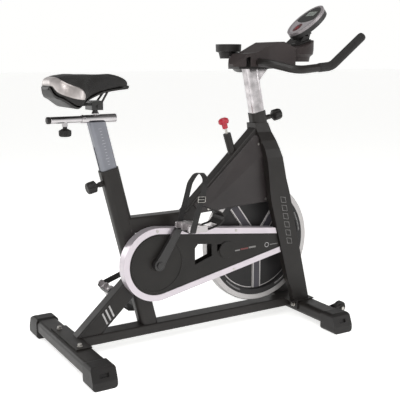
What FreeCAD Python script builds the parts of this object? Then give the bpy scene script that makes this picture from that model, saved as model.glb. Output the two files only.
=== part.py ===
import FreeCAD, Part
import math
import os
import re
import Sketcher

# Exercise bike with a belt-driven flywheel. Millimetres, +X forward, -Y the rider's right (drive side), +Z up.
# The origin is on the floor, below the middle of the bike's length and on its centre plane.

VECTOR = FreeCAD.Vector
DOC = FreeCAD.newDocument("ExerciseBike")
SHEET = DOC.addObject("Spreadsheet::Sheet", "Sheet")
NODES = []

DIMENSIONS = {
    # stabilizers, lower beam and transport wheels
    "rear_foot_x": -509, "front_foot_x": 413, "foot_half": 292, "foot_width": 76, "foot_height": 46,
    "foot_bottom": 20, "foot_radius": 14, "cap_width": 81, "cap_height": 70, "cap_length": 79,
    "beam_width": 60, "beam_height": 34, "beam_top": 70, "tube_wall": 2, "plate_thickness": 4,
    "rear_bolt_y": 93, "front_bolt_y": 57, "caster_x": 480, "caster_z": 58, "caster_radius": 23,
    "caster_y": 192, "caster_width": 20, "caster_bolt": 4,
    # leaning seat tube and post: lengths run up the tube from the top of the beam
    "seat_base_x": -222.4, "seat_lean": 13.77, "seat_tube_length": 560, "oval_width": 64, "oval_depth": 50,
    "oval_radius": 18, "post_width": 56, "post_depth": 40, "post_radius": 13, "post_wall": 4,
    "fit": 0.05, "bushing_length": 80, "collar_height": 3, "seat_post_start": 371, "seat_pin_at": 522,
    "pin_radius": 4, "groove_depth": 2.4, "hole_pitch": 20,
    # leaning head tube and handlebar post
    "head_base_x": 269, "head_base_z": 585, "head_lean": 11.8, "head_length": 197, "head_width": 60,
    "bar_post_width": 53, "bar_post_start": 66, "bar_pin_at": 169, "bar_plate_z": 933,
    # the other frame tubes
    "strut_x": -444.4, "strut_angle": 42.8, "strut_depth": 62, "mid_top": 450, "mid_depth": 54,
    "diagonal_angle": 43.3, "diagonal_depth": 56, "diagonal_length": 620,
    "leg_width": 80, "leg_thickness": 25, "leg_outer": 70, "leg_slope": 0.25, "leg_foot_x": 391,
    # pedal axle, flywheel and belt
    "bracket_x": -213, "bracket_z": 290, "bracket_radius": 25, "bracket_half": 27, "axle_radius": 8.5,
    "bearing_radius": 17, "wheel_x": 230, "wheel_z": 303, "wheel_radius": 221, "wheel_half": 17,
    "rim_depth": 44, "web_half": 4, "hub_radius": 27, "hub_half": 22, "spoke_width": 34, "spoke_half": 9,
    "belt_near": 31, "belt_far": 43, "belt_thickness": 3, "belt_gap": 0.3, "big_pulley": 96,
    "small_pulley": 32, "axle_plate_near": 46, "axle_plate_far": 52,
    # cranks and pedals
    "crank_length": 160, "crank_angle": 57, "crank_inner": 68, "crank_outer": 82, "pedal_y": 140,
    "pedal_half": 46, "pedal_length": 72, "pedal_height": 26, "right_tilt": -4, "left_tilt": 57,
    # belt guard
    "guard_x": -211, "guard_z": 288, "guard_radius": 126, "guard_drop": 6.45, "guard_rise": 11.75,
    "guard_front_x": 294, "guard_nose_x": 312, "guard_band": 21, "guard_face": 64, "guard_inner": 27.2,
    "guard_wall": 2.5, "boss_x": 63, "boss_z": 304, "boss_radius": 30,
    # brake
    "brake_lean": 17.65, "brake_gap": 2.4, "rod_radius": 4.5, "housing_radius": 14, "housing_top": 425,
    # saddle and its slider
    "slider_z": 781, "sleeve_radius": 14, "slider_radius": 11, "sleeve_rear": -445, "sleeve_front": -327,
    "slider_rear": -546, "slider_front": -342, "stem_x": -396, "stem_radius": 6, "slider_knob_x": -499,
    "knob_radius": 20, "knob_height": 26, "saddle_rear": -560, "saddle_front": -280, "saddle_top": 920,
    # handlebar, tray and console
    "bar_x": 196, "bar_z": 957, "bar_radius": 14, "grip_radius": 16.2, "tray_bottom": 941, "tray_half": 62,
    "drum_x": 398, "drum_radius": 66, "drum_lean": 17.6,
    "cup_x": 184, "cup_y": 120, "cup_bottom": 969, "cup_top": 1020,
    "console_x": 446, "console_z": 1101, "console_tilt": 38, "console_length": 172, "console_width": 118,
    "hinge_x": 441, "hinge_z": 1059,
}


# ---- sheet, expressions and placements ----

def fill_sheet():
    for row, (alias, number) in enumerate(DIMENSIONS.items(), 1):
        SHEET.set(f"A{row}", alias.replace("_", " "))
        SHEET.set(f"B{row}", str(number))
        SHEET.setAlias(f"B{row}", alias)
    DOC.recompute()


def value(text):
    """The number that a formula in sheet dimensions gives."""
    SHEET.set("D1", f"={text}")
    SHEET.recompute()
    return float(SHEET.get("D1"))


def bind(item, path, text):
    """Drive one property by a formula in sheet dimensions."""
    def cell(match):
        return f"Sheet.{match[0]}" if match[0] in DIMENSIONS else match[0]
    item.setExpression(path, re.sub(r"[a-z][a-z_]*", cell, str(text)))


def at(x=0, y=0, z=0, axis=None, angle=0):
    """A placement formula: a point, and a turn about a row axis given as a letter."""
    turn = {"x": "1;0;0", "y": "0;1;0", "z": "0;0;1"}[axis or "z"]
    return f"placement(vector({x}; {y}; {z}); rotation(vector({turn}); {angle}))"


SEAT = at("seat_base_x", 0, "beam_top", "y", "-seat_lean")
HEAD = at("head_base_x", 0, "head_base_z", "y", "-head_lean")
STRUT = at("strut_x", 0, "beam_top", "y", "90 - strut_angle")
DIAGONAL = at("bracket_x", 0, "bracket_z", "y", "90 - diagonal_angle")
BRACKET = at("bracket_x", 0, "bracket_z", "x", 90)
AXLE = at("wheel_x", 0, "wheel_z", "x", 90)
BRAKE = at("wheel_x", 0, "wheel_z", "y", "-brake_lean")
CONSOLE = at("console_x", 0, "console_z", "y", "-console_tilt")


def place(item, *frames):
    if frames:
        bind(item, "Placement", " * ".join(frames))
    return item


def node(item, label):
    """Register a finished sub-part under its own name."""
    item.Label = label
    NODES.append(item)
    return item


# ---- sketches and features ----

def new_sketch(body, role="XY_Plane", offset=(0, 0, 0)):
    sketch = body.newObject("Sketcher::SketchObject", body.Name + "_sketch")
    plane = [item for item in body.Origin.OriginFeatures if item.Role == role][0]
    sketch.AttachmentSupport = (plane, [""])
    sketch.MapMode = "FlatFace"
    for axis, text in zip("xyz", offset):
        bind(sketch, f"AttachmentOffset.Base.{axis}", text)
    return sketch


def datum(sketch, kind, *args):
    """Add a dimension whose last argument is a formula, and bind it."""
    *where, text = args
    index = sketch.addConstraint(Sketcher.Constraint(kind, *where, value(text)))
    name = f"d{index}"
    sketch.renameConstraint(index, name)
    bind(sketch, f"Constraints.{name}", text)


def outline(sketch, points):
    """A closed outline. A point (x, y, radius, mid_x, mid_y) starts an arc that passes near the middle."""
    first = sketch.GeometryCount
    spots = [VECTOR(value(point[0]), value(point[1]), 0) for point in points]
    ends = spots[1:] + spots[:1]
    for point, start, end in zip(points, spots, ends):
        if len(point) == 2:
            sketch.addGeometry(Part.LineSegment(start, end))
        else:
            middle = VECTOR(value(point[3]), value(point[4]), 0)
            sketch.addGeometry(Part.Arc(start, middle, end))
    forward = [is_forward(sketch.Geometry[first + i], start) for i, start in enumerate(spots)]
    for i, point in enumerate(points):
        head = 1 if forward[i] else 2
        before = (i - 1) % len(points)
        tail = 2 if forward[before] else 1
        sketch.addConstraint(Sketcher.Constraint("Coincident", first + before, tail, first + i, head))
        datum(sketch, "DistanceX", -1, 1, first + i, head, point[0])
        datum(sketch, "DistanceY", -1, 1, first + i, head, point[1])
        if len(point) > 2:
            datum(sketch, "Radius", first + i, point[2])
    return sketch


def is_forward(curve, start):
    """Whether a curve in a sketch still starts where it was drawn from (arcs always turn left)."""
    return curve.StartPoint.distanceToPoint(start) < 1e-6


def circle(sketch, x, y, radius):
    index = sketch.addGeometry(Part.Circle(VECTOR(value(x), value(y), 0), VECTOR(0, 0, 1), value(radius)))
    datum(sketch, "DistanceX", -1, 1, index, 3, x)
    datum(sketch, "DistanceY", -1, 1, index, 3, y)
    datum(sketch, "Radius", index, radius)
    return sketch


def rounded_points(width, depth, radius, x=0, y=0):
    """Outline points of a rounded rectangle centred on (x, y), anticlockwise from its lower edge."""
    points = []
    bend = f"({radius}) * {1 - math.sqrt(0.5):.6f}"
    for sx, sy in ((1, -1), (1, 1), (-1, 1), (-1, -1)):
        side = f"({x}) + {sx} * (({width}) / 2"
        edge = f"({y}) + {sy} * (({depth}) / 2"
        along = (f"{side} - ({radius}))", f"{edge})")
        across = (f"{side})", f"{edge} - ({radius}))")
        middle = (f"{side} - {bend})", f"{edge} - {bend})")
        start, end = (along, across) if sx * sy < 0 else (across, along)
        points.append((*start, radius, *middle))
        points.append(end)
    return points


def pad(body, sketch, length, symmetric=False, back=False):
    feature = body.newObject("PartDesign::Pad", body.Name + "_pad")
    feature.Profile = sketch
    bind(feature, "Length", length)
    if symmetric:
        feature.SideType = "Symmetric"
    feature.Reversed = back
    return feature


def new_body(name, *frames):
    return place(DOC.addObject("PartDesign::Body", name), *frames)


def bar(name, width, depth, radius, length, *frames, start=0):
    """A solid with a rounded-rectangle section, from its start along local Z."""
    body = new_body(name, *frames)
    sketch = outline(new_sketch(body, offset=(0, 0, start)), rounded_points(width, depth, radius))
    pad(body, sketch, length)
    return body


def prism(name, points, thickness, *frames):
    """An outline in X and Z, padded evenly to both sides of its plane."""
    body = new_body(name, *frames)
    pad(body, outline(new_sketch(body, "XZ_Plane"), points), thickness, symmetric=True)
    return body


def turned(name, points, *frames):
    """A solid of revolution about local Z, from (radius, height) points."""
    body = new_body(name, *frames)
    sketch = outline(new_sketch(body, "XZ_Plane"), points)
    feature = body.newObject("PartDesign::Revolution", name + "_turn")
    feature.Profile = sketch
    feature.ReferenceAxis = (sketch, ["V_Axis"])
    return body


def ring(name, outer, inner, start, end, *frames):
    return turned(name, [(inner, start), (outer, start), (outer, end), (inner, end)], *frames)


def disc(name, radius, start, end, *frames):
    """A plain cylinder along local Z."""
    item = DOC.addObject("Part::Cylinder", name)
    bind(item, "Radius", radius)
    bind(item, "Height", f"({end}) - ({start})")
    return place(item, *frames, at(0, 0, start))


def block(name, x, y, z, *frames):
    """A box between two limits on each axis."""
    item = DOC.addObject("Part::Box", name)
    for side, (low, high) in zip(("Length", "Width", "Height"), (x, y, z)):
        bind(item, side, f"({high}) - ({low})")
    return place(item, *frames, at(x[0], y[0], z[0]))


def fuse(name, *items):
    item = DOC.addObject("Part::MultiFuse", name)
    item.Shapes = list(items)
    return item


def cut(name, base, *tools):
    item = DOC.addObject("Part::Cut", name)
    item.Base = base
    item.Tool = tools[0] if len(tools) == 1 else fuse(name + "_tools", *tools)
    return item


def common(name, *items):
    item = DOC.addObject("Part::MultiCommon", name)
    item.Shapes = list(items)
    return item


def group(name, *items):
    item = DOC.addObject("Part::Compound", name)
    item.Links = list(items)
    return item


def mirrored(name, source, normal=(0, 1, 0), base_x=0):
    item = DOC.addObject("Part::Mirroring", name)
    item.Source = source
    item.Normal = normal
    bind(item, "Base.x", base_x)
    return item


def hollow(name, width, depth, radius, length, *frames, start=0, wall="tube_wall"):
    """A rounded tube, as the pair of the tube and its solid envelope."""
    envelope = bar(name + "_envelope", width, depth, radius, length, *frames, start=start)
    inside = bar(name + "_inside", f"({width}) - 2 * ({wall})", f"({depth}) - 2 * ({wall})",
                 f"({radius}) - ({wall})", f"({length}) + 2", *frames, start=f"({start}) - 1")
    return cut(name + "_hollow", envelope, inside), envelope


def lobed_knob(name, radius, height, neck, stud, reach, *frames):
    """A hand knob from its outer end along local Z, with a neck and a stud of the given reach."""
    body = turned(name, [
        (0, 0), (f"{radius} * 0.7", 0), (f"{radius} * 0.93", 2.5), (radius, 8), (radius, f"{height} - 7"),
        (neck, height), (neck, f"{height} + 5"), (stud, f"{height} + 5"), (stud, f"{height} + {reach}"),
        (0, f"{height} + {reach}")], *frames)
    DOC.recompute()
    scallop = circle(new_sketch(body), f"{radius} * 1.12", 0, f"{radius} * 0.26")
    pocket = body.newObject("PartDesign::Pocket", name + "_scallop")
    pocket.Profile = scallop
    pocket.Reversed = True
    bind(pocket, "Length", f"{height} + 1")
    pattern = body.newObject("PartDesign::PolarPattern", name + "_lobes")
    pattern.Originals = [pocket]
    pattern.Axis = (scallop, ["N_Axis"])
    pattern.Angle = 360
    pattern.Occurrences = 7
    body.Tip = pattern
    return body


def pipe(points, bends, radius):
    """A round rod along straight runs with tangent arcs at the inner points."""
    corners = [VECTOR(*point) for point in points]
    edges = []
    here = corners[0]
    for corner, after, bend in zip(corners[1:-1], corners[2:], bends):
        into = (corner - here).normalize()
        out = (after - corner).normalize()
        half = into.getAngle(out) / 2
        reach = bend * math.tan(half)
        start = corner - into * reach
        end = corner + out * reach
        inward = (out - into).normalize()
        middle = corner + inward * (bend / math.cos(half) - bend)
        edges.append(Part.LineSegment(here, start).toShape())
        edges.append(Part.Arc(start, middle, end).toShape())
        here = end
    edges.append(Part.LineSegment(here, corners[-1]).toShape())
    path = Part.Wire(edges)
    section = Part.Wire(Part.Circle(corners[0], corners[1] - corners[0], radius).toShape())
    return path.makePipeShell([section], True, True)


def shape_node(name, shape):
    item = DOC.addObject("Part::Feature", name)
    item.Shape = shape
    return item


# ---- floor frame ----

def foot_frame(foot_x):
    """Local z runs along a stabilizer (towards -Y) and local y is up, from the tube's middle."""
    return at(foot_x, 0, "foot_bottom + foot_height / 2", "x", 90)


def make_stabilizers():
    feet = {}
    for name, foot_x in (("rear_stabilizer", "rear_foot_x"), ("front_stabilizer", "front_foot_x")):
        length = "2 * (foot_half - 20)"
        tube, envelope = hollow(name, "foot_width", "foot_height", "foot_radius", length,
                                foot_frame(foot_x), start="-(foot_half - 20)")
        feet[name] = (tube, envelope)
    rear_holes = [disc(f"rear_foot_hole_{side}", "caster_bolt + fit", 0, 100,
                       at("rear_foot_x", f"{side} * rear_bolt_y", 0)) for side in (-1, 1)]
    node(cut("rear_foot", feet["rear_stabilizer"][0], *rear_holes), "rear_stabilizer")
    lug_outline = [("front_foot_x + 20", 27), ("caster_x - 6", 36), ("caster_x + 9", 44), ("caster_x + 13", 58),
                   ("caster_x + 8", 68), ("caster_x - 6", 71), ("front_foot_x + 20", 63)]
    lugs = []
    for side in (-1, 1):
        for step in (-1, 1):
            middle = f"{side} * (caster_y + {step} * (caster_width / 2 + 3.5))"
            lug = prism(f"lug_{side}_{step}".replace("-", "m"), lug_outline, "plate_thickness", at(0, middle, 0))
            lugs.append(lug)
    bore = disc("lug_bore", "caster_bolt + fit", -250, 250, at("caster_x", 0, "caster_z", "x", 90))
    plates = cut("lug_plates", fuse("lug_group", *lugs), feet["front_stabilizer"][1], bore)
    front_holes = [disc(f"front_foot_hole_{side}", "caster_bolt + fit", -20, 20,
                        at("front_foot_x - foot_width / 2", f"{side} * front_bolt_y", 50, "y", 90))
                   for side in (-1, 1)]
    front = cut("front_foot_tube", feet["front_stabilizer"][0], *front_holes)
    node(fuse("front_foot", front, plates), "front_stabilizer")
    return feet["rear_stabilizer"][1], feet["front_stabilizer"][1]


def make_end_caps():
    inner = "(foot_half - cap_length)"
    side_view = new_body("cap_side")
    points = [(inner, 0), ("foot_half", 0), ("foot_half", 26), ("foot_half - 14", 61),
              ("foot_half - 24", "cap_height"), (f"{inner} + 13", "cap_height"), (inner, "cap_height - 4")]
    pad(side_view, outline(new_sketch(side_view, "YZ_Plane"), points), 120, symmetric=True)
    end_view = bar("cap_end", "cap_width", "cap_height", 12, 400, at(0, 300, "cap_height / 2", "x", 90), start=-200)
    solid = common("cap_solid", side_view, end_view)
    pocket = bar("cap_pocket", "foot_width + 0.1", "foot_height + 0.1", "foot_radius + 0.05",
                 "cap_length - 19.9", at(0, 0, "foot_bottom + foot_height / 2", "x", 90), start="-(foot_half - 19.95)")
    slot = block("cap_slot", (-15, 15), (-6, 8), (-6.5, 6.5), at(0, "foot_half - 7", 43.5, "x", 21.8))
    cap = place(cut("cap", solid, pocket, slot), at("rear_foot_x", 0, 0))
    pair = group("cap_pair", cap, mirrored("cap_near", cap))
    middle = "(rear_foot_x + front_foot_x) / 2"
    node(group("caps", pair, mirrored("caps_front", pair, (1, 0, 0), middle)), "end_caps")


def make_lower_beam(rear_foot, front_foot):
    length = "front_foot_x - rear_foot_x"
    beam, envelope = hollow("beam", "beam_height", "beam_width", 5, length,
                            at("rear_foot_x", 0, "beam_top - beam_height / 2", "y", 90))
    top = ("beam_top - plate_thickness", "beam_top")
    rear = block("rear_saddle", (-530, -476), (-116, 116), top)
    front = block("front_saddle", (345, 448), (-80, 80), top)
    flange = block("front_flange", ("front_foot_x - foot_width / 2 - 5", "front_foot_x - foot_width / 2"),
                   (-80, 80), (36, 68))
    holes = [disc(f"beam_rear_hole_{side}", "caster_bolt + fit", 60, 80,
                  at("rear_foot_x", f"{side} * rear_bolt_y", 0)) for side in (-1, 1)]
    holes += [disc(f"beam_front_hole_{side}", "caster_bolt + fit", -20, 0,
                   at("front_foot_x - foot_width / 2", f"{side} * front_bolt_y", 50, "y", 90)) for side in (-1, 1)]
    body = fuse("beam_and_plates", beam, rear, front, flange)
    node(cut("beam_node", body, rear_foot, front_foot, *holes), "lower_beam")


def hexagon(name, radius, start, end, *frames):
    item = DOC.addObject("Part::Prism", name)
    item.Polygon = 6
    bind(item, "Circumradius", radius)
    bind(item, "Height", f"({end}) - ({start})")
    return place(item, *frames, at(0, 0, start))


def make_fasteners():
    parts = []
    for side in (-1, 1):
        tag = str(side).replace("-", "m")
        frame = at("rear_foot_x", f"{side} * rear_bolt_y", 0)
        parts.append(fuse(f"rear_bolt_{tag}", disc(f"rb_head_{tag}", 8, 16.5, 20, frame),
                          disc(f"rb_shank_{tag}", "caster_bolt", 18, 74, frame),
                          disc(f"rb_washer_{tag}", 9, 70, 71.5, frame),
                          hexagon(f"rb_nut_{tag}", 7.5, 71.5, 79, frame)))
        frame = at("front_foot_x - foot_width / 2", f"{side} * front_bolt_y", 50, "y", 90)
        parts.append(fuse(f"front_bolt_{tag}", hexagon(f"fb_head_{tag}", 7.5, -13, -6, frame),
                          disc(f"fb_washer_{tag}", 9, -6.5, -5, frame),
                          disc(f"fb_shank_{tag}", "caster_bolt", -8, 12, frame)))
        frame = at("caster_x", f"{side} * caster_y", "caster_z", "x", 90)
        span = "(caster_width / 2 + 5.5)"
        parts.append(fuse(f"caster_bolt_{tag}",
                          disc(f"cb_shank_{tag}", "caster_bolt", f"-{span} - 2", f"{span} + 2", frame),
                          hexagon(f"cb_head_{tag}", 7, span, f"{span} + 5", frame),
                          hexagon(f"cb_nut_{tag}", 7, f"-{span} - 5", f"-{span}", frame)))
    for turn in (-1, 1):
        tag = str(turn).replace("-", "m")
        parts.append(hexagon(f"axle_nut_{tag}", 14, "axle_plate_far", "axle_plate_far + 6",
                             AXLE, at(0, 0, 0, "x", f"90 - {turn} * 90")))
    bore = disc("axle_nut_bore", "axle_radius + fit", -70, 70, AXLE)
    nuts = cut("axle_nuts", group("axle_nut_pair", *parts[-2:]), bore)
    node(group("fasteners", *parts[:-2], nuts), "frame_fasteners")


def make_wheels():
    for side, name in ((-1, "wheel_right"), (1, "wheel_left")):
        half = "caster_width / 2"
        profile = [("caster_bolt + fit", f"-{half}"), (9, f"-{half}"), (10, f"-{half} + 2"), (15, f"-{half} + 2"),
                   (16, f"-{half}"), ("caster_radius - 3", f"-{half}"), ("caster_radius", f"-{half} + 3"),
                   ("caster_radius", f"{half} - 3"), ("caster_radius - 3", half), (16, half), (15, f"{half} - 2"),
                   (10, f"{half} - 2"), (9, half), ("caster_bolt + fit", half)]
        node(turned(name + "_body", profile, at("caster_x", f"{side} * caster_y", "caster_z", "x", 90)), name)


# ---- leaning tubes ----

def make_frame_tubes():
    tube, seat = hollow("seat", "oval_width", "oval_depth", "oval_radius", "seat_tube_length + 20", SEAT, start=-20)
    boss = disc("seat_boss", 9, -45, -31, SEAT, at(0, 0, "seat_pin_at", "y", 90))
    bore = disc("seat_boss_bore", "pin_radius + fit", -50, -20, SEAT, at(0, 0, "seat_pin_at", "y", 90))
    floor = block("under_beam", (-700, 700), (-200, 200), (-100, "beam_top"))
    node(cut("seat_node", fuse("seat_and_boss", tube, boss), bore, floor), "seat_tube")

    strut, strut_solid = hollow("strut", "strut_depth", 50, 8, 290, STRUT, start=-40)
    node(cut("strut_node", strut, seat, floor), "rear_strut")

    head_tube, head = hollow("head", "head_width", "oval_depth", "oval_radius", "head_length", HEAD, wall=1.6)
    head_boss = disc("head_boss", 9, -54, -29, HEAD, at(0, 0, "bar_pin_at", "y", -90))
    head_bore = disc("head_boss_bore", "pin_radius + fit", -60, -20, HEAD, at(0, 0, "bar_pin_at", "y", -90))
    node(cut("head_node", fuse("head_and_boss", head_tube, head_boss), head_bore), "head_tube")

    tube, diagonal = hollow("diagonal", "diagonal_depth", 50, 8, "diagonal_length + 70", DIAGONAL, start=-70)
    shell = disc("bracket_shell", "bracket_radius", "-bracket_half", "bracket_half", BRACKET)
    shell_bore = disc("bracket_bore", "bearing_radius", -60, 60, BRACKET)
    brake_hole = disc("brake_hole", "housing_radius + fit", 230, 430, BRAKE)
    node(cut("diagonal_node", fuse("diagonal_and_shell", tube, shell), seat, head, shell_bore, brake_hole),
         "diagonal_tube")

    height = "mid_top - mid_depth / 2"
    middle_tube, _ = hollow("mid", "mid_depth", 50, 6, 240, at(-310, 0, height, "y", 90))
    node(cut("mid_node", middle_tube, seat, diagonal, strut_solid), "mid_tube")
    return head, diagonal


def make_fork(head, diagonal):
    front = [("leg_foot_x + 40", "beam_top"), (331, 488), (315, 540), (304, 590), (298, 620), (290, 650),
             (282, 680), (272, 710), (261, 742), (203, 742), (225, 650), (234, 590), (243, 504), (253, 448),
             (332, 153), (350, 113), ("leg_foot_x - 31", "beam_top")]
    side_view = prism("fork_side", front, 160)
    leg_inner = "(leg_outer - leg_thickness)"
    points = [("leg_outer", "beam_top"), ("leg_outer", 590), (68, 620), (60, 650), (48, 680), (32, 710),
              (26, 742), (0, 742), (0, 576), (24, 574), (leg_inner, 545), (leg_inner, "beam_top")]
    end_body = new_body("fork_end")
    pad(end_body, outline(new_sketch(end_body, "YZ_Plane"), points), 1400, symmetric=True)
    half = common("fork_half", side_view, end_body)
    plate_outline = [("wheel_x - 18", 294), ("wheel_x - 9", 285), (300, 285), (300, 321), ("wheel_x - 9", 321),
                     ("wheel_x - 18", 312)]
    plate = prism("axle_plate", plate_outline, "axle_plate_far - axle_plate_near",
                  at(0, "(axle_plate_far + axle_plate_near) / 2", 0))
    inside = prism("fork_inside", [
        ("leg_foot_x + 36.5", "beam_top - 1"), (327.5, 487), (311.5, 538), (242.5, 538), (246, 504.5), (256, 448.5),
        (335, 154), (353, 114), ("leg_foot_x - 27.5", "beam_top - 1")], "leg_thickness - 5",
        at(0, "leg_outer - leg_thickness / 2", 0))
    leg = cut("fork_leg", fuse("fork_leg_solid", half, plate), inside)
    both = fuse("fork_pair", leg, mirrored("fork_near", leg))
    axle = disc("fork_axle_hole", "axle_radius + fit", -90, 90, AXLE)
    node(cut("fork_node", both, head, diagonal, axle), "fork")
    return side_view, end_body


def pin_holes(name, each_way, frame, pin_at, turn, face):
    """A row of detent holes through one face of a post, one pitch apart on both sides of the pin."""
    return [disc(f"{name}_hole_{k + each_way}", "pin_radius + 0.2", f"-({face}) - 3", f"-({face}) + 8", frame,
                 at(0, 0, f"{pin_at} + {k} * hole_pitch", "y", turn)) for k in range(-each_way, each_way + 1)]


def make_bushings():
    outer = bar("seat_bushing_outer", "oval_width - 2 * tube_wall", "oval_depth - 2 * tube_wall",
                "oval_radius - tube_wall", "bushing_length", SEAT, start="seat_tube_length - bushing_length")
    collar = bar("seat_collar", "oval_width", "oval_depth", "oval_radius", "collar_height", SEAT,
                 start="seat_tube_length")
    inside = bar("seat_bushing_bore", "post_width + 2 * fit", "post_depth + 2 * fit", "post_radius + fit",
                 "bushing_length + 40", SEAT, start="seat_tube_length - bushing_length - 10")
    hole = disc("seat_bushing_hole", "pin_radius + fit", -50, -20, SEAT, at(0, 0, "seat_pin_at", "y", 90))
    seat = cut("seat_bushing", fuse("seat_bushing_body", outer, collar), inside, hole)
    outer = bar("bar_bushing_outer", "head_width - 3.2", "oval_depth - 3.2", "oval_radius - 1.6", "bushing_length",
                HEAD, start="head_length - bushing_length")
    collar = bar("bar_collar", "head_width", "oval_depth", "oval_radius", "collar_height", HEAD, start="head_length")
    inside = bar("bar_bushing_bore", "bar_post_width + 2 * fit", "post_depth + 2 * fit", "post_radius + fit",
                 "bushing_length + 40", HEAD, start="head_length - bushing_length - 10")
    hole = disc("bar_bushing_hole", "pin_radius + fit", -60, -20, HEAD, at(0, 0, "bar_pin_at", "y", -90))
    head = cut("bar_bushing", fuse("bar_bushing_body", outer, collar), inside, hole)
    node(group("bushings", seat, head), "post_bushings")


def make_posts():
    post = bar("seat_post_solid", "post_width", "post_depth", "post_radius", "730 - seat_post_start", SEAT,
               start="seat_post_start")
    inside = bar("seat_post_inside", "post_width - 2 * post_wall", "post_depth - 2 * post_wall",
                 "post_radius - post_wall", "700 - seat_post_start", SEAT, start="seat_post_start - 1")
    groove = block("seat_groove", ("-post_width / 2 - 2", "-post_width / 2 + groove_depth"), (-5.5, 5.5), (385, 645),
                   SEAT)
    holes = pin_holes("seat", 5, SEAT, "seat_pin_at", 90, "post_width / 2")
    over = block("over_seat_post", (-600, 0), (-60, 60), ("slider_z - 10", 900))
    sleeve = disc("sleeve_envelope", "sleeve_radius", "sleeve_rear", "sleeve_front", at(0, 0, "slider_z", "y", 90))
    node(cut("seat_post_node", post, inside, groove, *holes, over, sleeve), "seat_post")

    length = "380 - bar_post_start"
    post = bar("bar_post_solid", "bar_post_width", "post_depth", "post_radius", length, HEAD, start="bar_post_start")
    inside = bar("bar_post_inside", "bar_post_width - 2 * post_wall", "post_depth - 2 * post_wall",
                 "post_radius - post_wall", "340 - bar_post_start", HEAD, start="bar_post_start - 1")
    groove = block("bar_groove", ("bar_post_width / 2 - groove_depth", "bar_post_width / 2 + 2"), (-5.5, 5.5),
                   (90, 245), HEAD)
    holes = pin_holes("bar", 3, HEAD, "bar_pin_at", -90, "bar_post_width / 2")
    over = block("over_bar_post", (0, 500), (-60, 60), ("bar_plate_z", 1100))
    gusset = prism("bar_gusset", [(222, 884), (208, "bar_plate_z"), (262, "bar_plate_z"), (258, 925)], 30)
    body = fuse("bar_post_body", cut("bar_post_tube", post, inside, groove, *holes),
                cut("bar_gusset_trim", gusset, post))
    node(cut("bar_post_node", body, over), "bar_post")


def make_pins():
    stud = "pin_radius"
    node(lobed_knob("seat_pin_knob", 19.5, 36, 7, stud, 26, SEAT, at(-88, 0, "seat_pin_at", "y", 90)), "seat_pin")
    node(lobed_knob("bar_pin_knob", 20.5, 36, 7, stud, 39.5, HEAD, at(100, 0, "bar_pin_at", "y", -90)), "bar_pin")


# ---- saddle ----

def make_slider():
    along = at(0, 0, "slider_z", "y", 90)
    sleeve = ring("sleeve", "sleeve_radius", "slider_radius + fit", "sleeve_rear", "sleeve_front", along)
    slot = block("sleeve_slot", ("stem_x - 42.5", "stem_x + 15.5"), (-6.8, 6.8), ("slider_z", "slider_z + 20"))
    screw = disc("sleeve_screw", 4, 12, 18.5, at("sleeve_rear + 8", 0, "slider_z", "x", 75))
    node(fuse("sleeve_node", cut("sleeve_cut", sleeve, slot), screw), "slider_sleeve")

    tube = disc("slider_rod", "slider_radius", "slider_rear", "slider_front", along)
    hollow_rod = disc("slider_bore", "slider_radius - 2.5", "slider_rear - 1", "slider_front + 1", along)
    stem = disc("slider_stem", "stem_radius", "slider_z + 4", "slider_z + 34", at("stem_x", 0, 0))
    flare = turned("slider_flare", [(0, "slider_z + 14.8"), (13, "slider_z + 14.8"), (13, "slider_z + 17"),
                                    (7, "slider_z + 28"), (0, "slider_z + 28")], at("stem_x", 0, 0))
    boss = disc("slider_boss", 9, "slider_z - 21", "slider_z - 6", at("slider_knob_x", 0, 0))
    bore = disc("slider_boss_bore", "pin_radius + fit", "slider_z - 30", "slider_z", at("slider_knob_x", 0, 0))
    top = cut("slider_top", fuse("slider_solid", tube, boss), hollow_rod, bore)
    node(fuse("slider_node", top, stem, flare), "slider_tube")

    knob = lobed_knob("slider_hand_knob", "knob_radius", "knob_height", 7, "pin_radius", 14,
                      at("slider_knob_x", 0, "slider_z - 52.5"))
    node(knob, "slider_knob")


def loft(name, sections, outline_of):
    wires = [outline_of(*section) for section in sections]
    shape = Part.makeLoft(wires, True, False)
    return shape_node(name, shape)


def seat_section(x, half, low, high):
    """A saddle section: flat below, rounded above."""
    corner = [VECTOR(x, -half, low), VECTOR(x, half, low)]
    ys = [1, 1.0, 0.86, 0.5, 0, -0.5, -0.86, -1.0, -1]
    zs = [0, 0.42, 0.78, 0.96, 1, 0.96, 0.78, 0.42, 0]
    top = Part.BSplineCurve()
    top.interpolate([VECTOR(x, half * y, low + (high - low) * z) for y, z in zip(ys, zs)])
    return Part.Wire([Part.LineSegment(*corner).toShape(), top.toShape()])


def shell_section(x, half, low, high):
    low_half = half * 0.8
    corners = [VECTOR(x, -low_half, low), VECTOR(x, low_half, low), VECTOR(x, half, high), VECTOR(x, -half, high)]
    return Part.Wire([Part.LineSegment(a, b).toShape() for a, b in zip(corners, corners[1:] + corners[:1])])


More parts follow.
